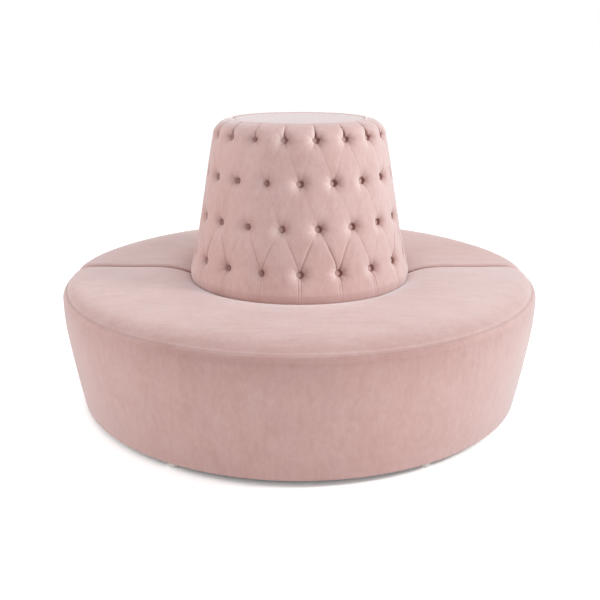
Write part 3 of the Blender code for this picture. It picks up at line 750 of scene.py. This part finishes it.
tuft = {
    "columnsPerPitch": 60,
    "footRows": 16,
    "channelRows": 18,
    "channelPacking": 1.6,  # how the rows pack towards the lowest buttons
    "shoulderRows": 40,
    "shoulderPacking": 1.25,  # and towards the highest ones
    "crowd": 0.55,  # how far the grid crowds towards the buttons
    "bend": (0.36, 0.26, 0.20),  # how far the pleats of each gap bend like pointed arches
    "lifts": (0.0, 0.0020, 0.0045, 0.0),  # how far each row stands above even spacing
    "valley": (0.0016, 0.0009, 0.0009),  # soft depth of each gap's pleats, from the lowest gap up
    "valleyPower": 0.80,
    "crease": (0.0017, 0.0004, 0.0004),  # sharp depth of each gap's pleats
    "creaseWidth": 0.0022,
    # Painted shade along each gap's creases
    "creaseShade": (0.16, 0.03, 0.03),
    "creaseFade": (0.05, 0.8, 0.8),  # what is left of each gap's lines at its upper buttons
    "fadePlaces": (0.5, 0.9),
    "unevenness": 0.90,
    "pleatEnd": 0.018,  # pleats end within this distance of a button
    # A depth or shade of three values has its reach and power beside it
    "dimple": (0.0172, 0.0240, 1.15),  # the wide dimple round each button
    "dimpleEnds": (0.052, 0.008),  # it fades out between these distances
    "hole": (0.0056, 0.0112, 6.0),  # the hole that the button sits in
    "puckers": (0.00045, 0.010, 2.0),
    "puckerPlace": 0.020,
    "puckerCount": 7.0,
    "holeShades": (0.70, 0.44),  # painted shade in the holes, in the lower rows and in the highest row
    "holeEdge": (0.0110, 6.0),
    # Painted shade round each button
    "dimpleShade": (0.10, 0.020, 2.0),
    # Painted side light: slopes that go deeper towards the right are painted light, the others dark
    "napShade": 0.95,
    "napPower": 1.45,
    "napSlopes": (-1.20, 0.80),
    "napFade": (-0.75, -0.20),  # the painted side light turns round between these places across the sofa
    "napTurned": (-0.50, 0.30),  # what its painted light and its painted dark then become, in turn
    "holeTurned": 0.82,  # and how dark holes and creases still are
    "creaseTurned": 0.45,
    "holeFar": 0.60,  # how dark holes are at the far left and right
    "holePlaces": (0.70, 0.95),
    "flank": -0.10,  # painted light on the right flank
    "flankPlaces": (0.72, 0.97),
    "farNotch": 0.55,  # what is left of the notches' dark on the right flank
    "farPlaces": (0.25, 0.75),
    "channel": 0.0016,
    "channelPower": 0.6,
    "seam": (0.0012, 0.0013, 2.0),
    # Painted shade in the channel seams' grooves
    "seamShade": 0.13,
    "seamOffset": 0.0046,
    "seamOpens": (0.006, 0.020),  # distances below the buttons
    "footPlaces": (0.012, 0.052),
    "footShares": (0.3, 0.35, 0.5),  # what is left at the foot of strip, seams and seam shade
    "petal": 0.0042,
    "petalPower": 6.0,
    "petalEnds": (0.012, 0.042),  # the petals join between these distances from the top
    "notch": (0.0006, 0.0090),  # at its end and at the button, as is its width
    "notchWidth": (0.0016, 0.0032),
    "notchReach": 0.038,
    # Painted shade in the notches above the highest buttons
    "notchShade": 0.55,
    "notchPower": 1.5,
    "topGroove": (0.0012, 0.0035, 1.0),
    "topRise": (0.0020, 0.0085, 2.0),  # the cover's edge puffs up round the top pad
    "topRisePlace": 0.0100,
    "edgeShade": (-0.42, 0.0105, 2.0),  # painted highlight along the petals' top edges
    "edgePlace": 0.0130,
    "edgeGap": 0.012,
}


def coneRadius(height):
    # Radius less the taper times a cubic of the share of rise from the foot to the shoulder
    rise = np.clip((height - cone["low"]) / (cone["shoulderHeight"] - cone["low"]), 0.0, 1.0)
    first, second, third = cone["curve"]
    share = first * rise + second * rise ** 2 + third * rise ** 3
    return cone["radius"] - cone["taper"] * share


def evenShares(count):
    # Even steps up to 1, without 0
    return np.arange(1, count + 1) / count


def crowded(share, look):
    # Even steps from 0 to 1, drawn together at both ends by a sine
    return share - look["crowd"] * np.sin(2.0 * math.pi * share) / (2.0 * math.pi)


def gapShares(look, bend):
    # Where a gap's grid rows lie: the pleats' bend is undone, so that pleats keep to diagonals of
    # cells. A pleat's run is its rise plus the bend times the square of the rise less the rise,
    # which is solved here for the rise.
    share = crowded(evenShares(look["columnsPerPitch"] // 2), look)
    straight = 1.0 - bend
    return (np.sqrt(straight ** 2 + 4.0 * bend * share) - straight) / (2.0 * bend)


def coneProfile(look):
    # The envelope from the seat to the top seam: radius, height and place in rows, from the bottom.
    # The foot rolls out by a quarter ellipse, and the shoulder rolls in by another.
    contact = sofa["contactRadius"]
    foot = arc((contact, cone["low"]), cone["radius"] - contact, cone["low"] - cone["base"],
               -90, 0, look["footRows"])
    share = 1.0 - (1.0 - evenShares(look["channelRows"])) ** look["channelPacking"]
    channel = between(cone["low"], cone["lowestRow"], share)
    pitch = (cone["highestRow"] - cone["lowestRow"]) / (cone["rows"] - 1)
    gaps = [cone["lowestRow"] + pitch * (gap + gapShares(look, bend))
            for gap, bend in enumerate(look["bend"])]
    rise = cone["topHeight"] - cone["shoulderHeight"]
    narrow = coneRadius(cone["shoulderHeight"]) - cone["shoulderWidth"]
    start = math.asin((cone["highestRow"] - cone["shoulderHeight"]) / rise)
    share = evenShares(look["shoulderRows"]) ** look["shoulderPacking"]
    turn = between(start, math.pi / 2, share)
    shoulder = joined(narrow + cone["shoulderWidth"] * np.cos(turn),
                      cone["shoulderHeight"] + rise * np.sin(turn))
    straight = np.concatenate((channel, *gaps))
    levels = cone["lowestRow"] + pitch * np.arange(cone["rows"])
    place = (np.concatenate((foot[:, 1], straight, shoulder[:, 1])) - cone["lowestRow"]) / pitch
    straight = straight + np.interp(straight, levels, look["lifts"])
    lean = np.arcsin(np.clip((straight - cone["shoulderHeight"]) / rise, 0.0, 1.0))
    sides = coneRadius(straight) - cone["shoulderWidth"] * (1.0 - np.cos(lean))
    outline = np.concatenate((foot, joined(sides, straight), shoulder))
    return outline, place, len(foot) + len(channel) - 1


def profileNormals(outline):
    # The direction along the outline, turned by a right angle to the outside
    along = np.gradient(outline, axis=0)
    along /= np.linalg.norm(along, axis=1, keepdims=True)
    return joined(along[:, 1], -along[:, 0])


def nearestButton(look, pitches, arcLength, rowLengths, pitchLength):
    # Distance along the cover to the nearest button, and the direction it lies in, turned by a
    # chance angle for each button
    nearest = np.full(np.broadcast(pitches, arcLength).shape, 1.0)
    direction = np.zeros(nearest.shape)
    for row, rowLength in enumerate(rowLengths):
        across = pitches - row / 2.0
        number = np.round(across)
        chance = rng.random(cone["buttonsPerRow"]) * 2.0 * math.pi
        start = chance[number.astype(int) % cone["buttonsPerRow"]] / look["puckerCount"]
        across = (across - number) * pitchLength
        along = arcLength - rowLength
        distance = np.hypot(across, along)
        closer = distance < nearest
        nearest = np.where(closer, distance, nearest)
        direction = np.where(closer, np.arctan2(along, across) + start, direction)
    return nearest, direction


def pleatDepth(look, pitches, place, pitchLength, rowLengths):
    # Pleats between the rows. Their two families are counted by the pitches, plus and less half
    # the run. A gap's soft valley is a power of the sines' product, and its sharp crease an
    # exponential of the distance to the nearer pleat, uneven from pleat to pleat.
    depth = np.zeros(np.broadcast(pitches, place).shape)
    shade = np.zeros(depth.shape)
    count = cone["buttonsPerRow"]
    for gap, bend in enumerate(look["bend"]):
        rise = place - gap
        inside = (rise >= 0.0) & (rise <= 1.0)
        rise = np.clip(rise, 0.0, 1.0)
        run = rise + bend * (rise ** 2 - rise)
        length = rowLengths[gap + 1] - rowLengths[gap]
        slope = (1.0 - bend + 2.0 * bend * rise) / (2.0 * length)
        steep = np.sqrt(1.0 / pitchLength ** 2 + slope ** 2)
        families = np.stack((pitches + (gap + run) / 2.0, pitches - (gap + run) / 2.0))
        nearest = np.round(families).astype(int)
        sines = np.abs(np.sin(math.pi * families)).prod(axis=0)
        uneven = between(1.0 - look["unevenness"], 1.0 + look["unevenness"], rng.random((2, count)))
        strength = np.stack([uneven[one][nearest[one] % count] for one in (0, 1)])
        distance = np.abs(families - nearest) / steep
        crease = bell(distance, strength, look["creaseWidth"], 1.0).max(axis=0)
        # The line fades towards the gap's upper buttons by its own share
        fading = smoothStep(rise, *look["fadePlaces"])
        crease = crease * between(1.0, look["creaseFade"][gap], fading)
        soft = look["valley"][gap] * (1.0 - sines ** look["valleyPower"])
        depth = np.where(inside, soft + look["crease"][gap] * crease, depth)
        # Painted shade along the creases
        shade = np.where(inside, look["creaseShade"][gap] * crease ** 2, shade)
    return depth, shade


def channelDepth(look, pitches, arcLength, rowLengths, pitchLength):
    # Below the lowest row each button has an upright seam: a flat strip, by a power of a sine,
    # between two fine grooves, which are bells of the distance from where they run
    across = np.abs(pitches - np.round(pitches)) * pitchLength
    soft = look["channel"] * (1.0 - np.abs(np.sin(math.pi * pitches)) ** look["channelPower"])
    offset = look["seamOffset"] * smoothStep(rowLengths[0] - arcLength, *look["seamOpens"])
    depth, reach, power = look["seam"]
    groove = bell(across - offset, 1.0, reach, power)
    fromFoot = smoothStep(arcLength, *look["footPlaces"])
    strip, seam, dark = (between(share, 1.0, fromFoot) for share in look["footShares"])
    # The depth, and painted shade in the grooves
    return soft * strip + depth * groove * seam, look["seamShade"] * groove * dark


def petalDepth(look, pitches, arcLength, rowLengths, pitchLength):
    # Above the highest row the cover puffs into petals, each between two upright notches that are
    # deepest at the buttons: a power of the place across, and an exponential of the distance
    shifted = pitches - (cone["rows"] - 1) / 2.0
    share = np.abs(shifted - np.round(shifted))
    across = share * pitchLength
    soft = look["petal"] * (1.0 - 2.0 * share) ** look["petalPower"]
    fade = np.clip(1.0 - (arcLength - rowLengths[-1]) / look["notchReach"], 0.0, 1.0)
    width = between(*look["notchWidth"], fade)
    notch = bell(across, between(*look["notch"], fade), width, 1.0)
    toTop = arcLength[-1] - arcLength
    groove = bell(toTop, *look["topGroove"]) - bell(toTop - look["topRisePlace"], *look["topRise"])
    # Towards the top seam the petals join in one smooth edge
    apart = smoothStep(toTop, *look["petalEnds"])
    # Painted shade in the notches
    shade = bell(across, look["notchShade"] * fade, width, look["notchPower"]) * apart
    # Painted highlight from the petals' top edges to the top seam
    edge = bell(np.maximum(toTop - look["edgePlace"], 0.0), *look["edgeShade"])
    edge = edge * smoothStep(across, 0.0, look["edgeGap"])
    return (soft + notch) * apart + groove, shade + edge


def paintedSideLight(look, depth, pitches, pitchLength, right):
    # Painted side light: slopes that go deeper towards the right are painted light and the others
    # painted dark, by a power of the clipped slope across; on the left this is turned round and
    # weakened
    ahead = np.roll(pitches, -1, axis=1) - np.roll(pitches, 1, axis=1)
    ahead = np.where(ahead < 0.0, ahead + cone["buttonsPerRow"], ahead) * pitchLength
    slope = (np.roll(depth, -1, axis=1) - np.roll(depth, 1, axis=1)) / ahead
    slope = np.clip(slope, *look["napSlopes"])
    lean = np.sign(slope) * np.abs(slope) ** look["napPower"]
    facingLeft, facingRight = look["napTurned"]
    return lean * between(np.where(slope > 0.0, facingLeft, facingRight), 1.0, right)


def coverRelief(look, outline, place, arcLength, rowLengths, pitches, turn):
    # Depth below the envelope and painted shading at each point: pleats between the rows,
    # channels below and petals above them. The bells of dimple, hole and puckers are added.
    pitchLength = 2.0 * math.pi * outline[:, :1] / cone["buttonsPerRow"]
    spots = (pitches, arcLength, rowLengths, pitchLength)
    side = np.sin(turn)
    right = smoothStep(side, *look["napFade"])
    far = smoothStep(side, *look["farPlaces"])
    depth, shade = pleatDepth(look, pitches, place, pitchLength, rowLengths)
    shade = shade * between(look["creaseTurned"], 1.0, right)
    lowDepth, lowShade = channelDepth(look, *spots)
    highDepth, highShade = petalDepth(look, *spots)
    dark = highShade > 0.0
    highShade = np.where(dark, highShade * between(1.0, look["farNotch"], far), highShade)
    below, above = place < 0.0, place > cone["rows"] - 1.0
    depth = np.where(below, lowDepth, np.where(above, highDepth, depth))
    shade = np.where(below, lowShade, np.where(above, highShade, shade))
    nearest, direction = nearestButton(look, *spots)
    # Close to a button its dimple takes over from the pleats
    depth = depth * smoothStep(nearest, 0.0, look["pleatEnd"])
    depth = depth + bell(nearest, *look["dimple"]) * smoothStep(nearest, *look["dimpleEnds"])
    depth = depth + bell(nearest, *look["hole"])
    ring = bell(nearest - look["puckerPlace"], *look["puckers"])
    depth = depth + ring * np.cos(look["puckerCount"] * direction)
    # Painted shade in the holes and round the buttons, painted side light on the slopes, and
    # painted light on the right flank
    highest = cone["rows"] - 1.0
    inHole = between(*look["holeShades"], smoothStep(place, highest - 1.0, highest))
    inHole = inHole * between(look["holeTurned"], 1.0, right)
    inHole = inHole * between(1.0, look["holeFar"], smoothStep(np.abs(side), *look["holePlaces"]))
    shade = np.maximum(shade, bell(nearest, inHole, *look["holeEdge"]))
    shade = np.maximum(shade, bell(nearest, *look["dimpleShade"]))
    shade = shade - look["napShade"] * paintedSideLight(look, depth, pitches, pitchLength, right)
    return depth, shade + look["flank"] * smoothStep(side, *look["flankPlaces"])


def makeCover(look):
    # The envelope moves in along its normals by the relief's depth. A plain back closes it.
    outline, place, lowest = coneProfile(look)
    normals = profileNormals(outline)
    steps = np.linalg.norm(np.diff(outline, axis=0), axis=1)
    arcLength = np.concatenate(([0.0], np.cumsum(steps)))
    width = look["columnsPerPitch"]
    rowIndex = lowest + np.arange(cone["rows"]) * (width // 2)
    rowLengths = arcLength[rowIndex]
    columns = width * cone["buttonsPerRow"]
    pitches = (crowded(2.0 * np.arange(columns) / width, look) / 2.0)[None, :]
    turn = 2.0 * math.pi * pitches / cone["buttonsPerRow"]
    depth, shade = coverRelief(look, outline, place[:, None], arcLength[:, None], rowLengths,
                               pitches, turn)
    outside = aroundAxis(outline[:, :1] - depth * normals[:, :1], turn,
                         outline[:, 1:] - depth * normals[:, 1:])
    narrow, thickness = outline[-1][0], cone["thickness"]
    back = np.array((
        (narrow, cone["topHeight"] - cone["topLip"]),
        (narrow, cone["topHeight"] - thickness),
        (coneRadius(cone["shoulderHeight"]) - thickness, cone["shoulderHeight"]),
        (cone["radius"] - thickness, cone["low"]),
        (sofa["contactRadius"] - thickness, cone["base"]),
    ))
    grid = np.concatenate((outside, aroundAxis(back[:, :1], turn, back[:, 1:])))
    crushed = np.concatenate((shade, np.zeros((len(back), columns))))
    # Each cell is cut along the family of pleats that lies nearer
    row, column = np.meshgrid(np.arange(len(grid)) + 0.5 - lowest, np.arange(columns) + 0.5,
                              indexing="ij")
    plus, less = (np.abs(run - np.round(run)) for run in ((column + row) / width,
                                                          (column - row) / width))
    mesh = closedGrid("coneTuftedCover", grid, crushed, wrapRows=True, cuts=less <= plus)
    item = addPiece("coneTuftedCover", mesh, "velvet", ["cone_tufted_cover"])
    print("cover made:", len(mesh.polygons), "triangles")
    return [(outline[index], normals[index]) for index in rowIndex]


rowCentres = makeCover(tuft)


# Covered buttons

button = {
    "radius": 0.0085,
    "dome": 0.0034,
    "skirt": ((0.007905, -0.0015), (0.004675, -0.0025)),
    "peak": 0.15,
    "depth": 0.0186,
    "depthSpread": 0.0006,
    "rings": 9,
    "sides": 28,
    "folds": 0.00018,
    "foldCount": 9.0,
    "foldPower": 4,
    "tilt": 0.07,
    "shade": (0.34, 0.78),  # painted shade on the sofa's right and on its left
    # Painted shade on each button's right and upper part, lighter on its left and lower part
    "sideShade": (0.50, 0.15),
    "shadeUp": 0.5,  # how far that shade also follows the place up the button
    "leftPlaces": (0.10, 0.45),
    "farPlaces": (0.70, 0.95),  # the painted shade is lighter again on buttons at the far left
    "farShare": 0.55,
}


def buttonShape(look):
    # A quarter ellipse over the top and a short skirt under it, turned about the outward axis
    dome = arc((0.0, 0.0), look["radius"], look["dome"], 90, 0, look["rings"])[1:]
    outline = np.concatenate((dome, look["skirt"]))
    spin = evenTurns(look["sides"])
    # Gathers of the cloth show as faint folds at the rim
    rim = (outline[:, :1] / look["radius"]) ** look["foldPower"]
    folds = look["folds"] * np.cos(look["foldCount"] * spin) * rim
    return aroundAxis(outline[:, :1], spin + math.pi / 2, outline[:, 1:] + folds)


def addButtonRow(row, grids, lefts):
    # One piece for each row of buttons; each button is a closed shape of its own. Its painted shade
    # rises by a share of the place across it to the right and up it, as painted side light.
    shape = buttonShape(button)
    lean = (shape[..., 0] + button["shadeUp"] * shape[..., 1]).reshape(-1) / button["radius"]
    lean = np.concatenate((lean, (0.0, 0.0)))
    points, faces, crushed, count = [], [], [], 0
    for grid, left in zip(grids, lefts):
        ownPoints, ownFaces = closedShape(grid, bulge=button["peak"])
        points.append(ownPoints)
        faces += [part + count for part in ownFaces]
        crushed.append(between(*button["shade"], left) + between(*button["sideShade"], left) * lean)
        count += len(ownPoints)
    name = f"buttonRow{row + 1}"
    mesh = meshFromFaces(name, np.concatenate(points), faces, np.concatenate(crushed))
    addPiece(name, mesh, "velvet", [])


def makeButtons(look):
    # Each button is sunk along the cover's normal, and tilted by chance
    shape = buttonShape(look)
    for row, (centre, normal) in enumerate(rowCentres):
        grids, lefts = [], []
        for number in range(cone["buttonsPerRow"]):
            turn = 2.0 * math.pi * (number + (row % 2) / 2.0) / cone["buttonsPerRow"]
            sunk = look["depth"] + rng.normal(0.0, look["depthSpread"])
            radius, height = centre - normal * sunk
            outward = aroundAxis(normal[0], turn, normal[1]) + rng.normal(0.0, look["tilt"], 3)
            outward /= np.linalg.norm(outward)
            across = np.cross((0.0, 0.0, 1.0), outward)
            across /= np.linalg.norm(across)
            axes = np.stack((across, np.cross(outward, across), outward))
            grids.append(aroundAxis(radius, turn, height) + shape @ axes)
            far = smoothStep(-math.sin(turn), *look["farPlaces"])
            lefts.append(smoothStep(-math.sin(turn), *look["leftPlaces"])
                         * between(1.0, look["farShare"], far))
        addButtonRow(row, grids, lefts)
    print("buttons made:", cone["rows"] * cone["buttonsPerRow"])


makeButtons(button)


# Top pad

topPad = {
    "radius": 0.2168,
    "crown": 0.0016,
    "edge": 0.003,
    "bottom": 0.9030,
    "top": 0.9390,
    "tuck": (0.002, 0.006),  # how far in the bottom edge is drawn, and from how high
    "innerShare": 0.04,
    "rings": 40,
    "sides": 216,
    "scallop": 0.0003,
    "scallopFrom": 0.85,
    # Painted shade over the whole pad, against its bright sheen
    "shade": 0.27,
}


def makeTopPad(pad):
    # A disc, crowned by a square of the share of its radius, whose edge rolls down into the seam
    # by a quarter circle and dips by a cosine wave where each pleat ends
    outer = pad["radius"]
    share = np.linspace(pad["innerShare"], 1.0, pad["rings"])
    top = joined((outer - pad["edge"]) * share, pad["top"] + pad["crown"] * (1.0 - share ** 2))
    edge = arc((outer - pad["edge"], pad["top"] - pad["edge"]), pad["edge"], pad["edge"], 80, 0, 8)
    tuckIn, tuckUp = pad["tuck"]
    side = ((outer, pad["bottom"] + tuckUp), (outer - tuckIn, pad["bottom"]))
    outline = np.concatenate((top, edge, side))
    spin = evenTurns(pad["sides"])
    near = smoothStep(outline[:, :1], pad["scallopFrom"] * outer, outer)
    dips = pad["scallop"] * near * (1.0 + np.cos(cone["buttonsPerRow"] * spin)) / 2.0
    # The wave starts half a pitch off the front, where the highest row's pleats end
    grid = aroundAxis(outline[:, :1], spin + math.pi / cone["buttonsPerRow"],
                      outline[:, 1:] - dips)
    mesh = closedGrid("coneTopPad", grid, pad["shade"])
    item = addPiece("coneTopPad", mesh, "velvet", ["cone_top_pad"])
    print("top pad made")


makeTopPad(topPad)


# Glides

glide = {
    "radius": 0.018,
    "rounding": 0.003,
    "sole": ((0.004, 0.0), (0.010, 0.0)),
    # Straight up, a step in, the neck and its rounded top
    "wall": ((0.0180, 0.0130), (0.0174, 0.0145), (0.0155, 0.0149), (0.0155, 0.0176),
             (0.0151, 0.0180), (0.0060, 0.0180)),
    "sides": 40,
}


def makeGlide(name, node, look):
    # A turned foot: flat sole, rounded edge, straight wall and a stepped neck under the board
    low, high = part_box(node)
    edge = arc((look["radius"] - look["rounding"], look["rounding"]), look["rounding"],
               look["rounding"], -90, 0, 7)
    outline = np.concatenate((look["sole"], edge, look["wall"]))
    grid = aroundAxis(outline[:, :1], evenTurns(look["sides"]), outline[:, 1:])
    grid[..., :2] += ((low[0] + high[0]) / 2, (low[1] + high[1]) / 2)
    addPiece(name, closedGrid(name, grid), "glide_plastic", [node])


def makeGlides(look):
    # One for each glide of the CAD, with its node's name in camel case
    nodes = sorted(name for name in frame["nodes"] if "glide" in name)
    for node in nodes:
        words = node.split("_")
        makeGlide(words[0] + "".join(word.capitalize() for word in words[1:]), node, look)
    print("glides made:", len(nodes))


makeGlides(glide)


# Studio

studio = {
    "world": 0.78,
    # Each lamp's place, size and watts
    "lamps": {
        "rightLamp": ((3.3, -0.9, 2.3), 1.0, 85.0),
        "leftLamp": ((-3.4, -0.3, 1.4), 1.8, 47.0),
        "topLamp": ((0.3, 0.0, 3.6), 2.6, 6.5),
        "frontLamp": ((0.9, -3.8, 1.5), 2.2, 22.0),
    },
    "lampAim": (0.0, 0.0, 0.45),
    "floorHalf": 14.0,
    "floorShade": 0.68,
    "floorSeen": 1.27,
    "floorGlow": 0.03,
}


def grey(level):
    # A colour with all parts at the level
    return (level, level, level, 1.0)


def makeCamera(look):
    # Looks along Y, pitched down from the horizon
    camera = addToScene("photoCamera", bpy.data.cameras.new("photoCamera"))
    camera.location = look["place"]
    camera.rotation_euler = (math.radians(90.0 - look["pitchDown"]), 0.0, 0.0)
    camera.data.sensor_width = look["sensorWidth"]
    camera.data.lens = look["lens"]
    bpy.context.scene.camera = camera


def makeLamps(look):
    # Square area lamps, each turned so that its -Z axis points at the aim
    for name, (place, size, watts) in look["lamps"].items():
        lamp = addToScene(name, bpy.data.lights.new(name, "AREA"))
        lamp.location = place
        lamp.data.size = size
        lamp.data.energy = watts
        aim = Vector(look["lampAim"]) - lamp.location
        lamp.rotation_mode = "QUATERNION"
        lamp.rotation_quaternion = aim.to_track_quat("-Z", "Y")


def makeFloor(look):
    # White to the camera where it is lit; other rays meet a greyer floor
    mesh = bpy.data.meshes.new("studioFloor")
    half = look["floorHalf"]
    mesh.from_pydata([(-half, -half, 0), (half, -half, 0), (half, half, 0), (-half, half, 0)], [],
                     [(0, 1, 2, 3)])
    floor = addToScene("studioFloor", mesh)
    nodes = Nodes(bpy.data.materials.new("studioFloor"), empty=True)
    matt = nodes.add("ShaderNodeBsdfDiffuse", {"Color": grey(look["floorShade"])})
    seen = nodes.add("ShaderNodeBsdfDiffuse", {"Color": grey(look["floorSeen"])})
    glow = nodes.add("ShaderNodeEmission", {"Strength": look["floorGlow"]})
    both = nodes.add("ShaderNodeAddShader", {0: seen, 1: glow})
    camera = nodes.add("ShaderNodeLightPath").outputs["Is Camera Ray"]
    choose = nodes.add("ShaderNodeMixShader", {0: camera, 1: matt, 2: both})
    nodes.add("ShaderNodeOutputMaterial", {"Surface": choose})
    mesh.materials.append(nodes.owner)


def makeWorld(look):
    # Plain grey light; the camera and glossy rays see white
    world = bpy.data.worlds.new("studioWorld")
    bpy.context.scene.world = world
    nodes = Nodes(world, empty=True)
    rays = nodes.add("ShaderNodeLightPath").outputs
    white = nodes.math("MAXIMUM", rays["Is Camera Ray"], rays["Is Glossy Ray"])
    strength = nodes.spread(white, 0.0, 1.0, look["world"], 1.0)
    background = nodes.add("ShaderNodeBackground", {"Color": grey(1.0), "Strength": strength})
    nodes.add("ShaderNodeOutputWorld", {"Surface": background})


makeCamera(cameraView)
makeWorld(studio)
makeFloor(studio)
makeLamps(studio)
bpy.context.scene.view_settings.view_transform = "Standard"
print("studio made")
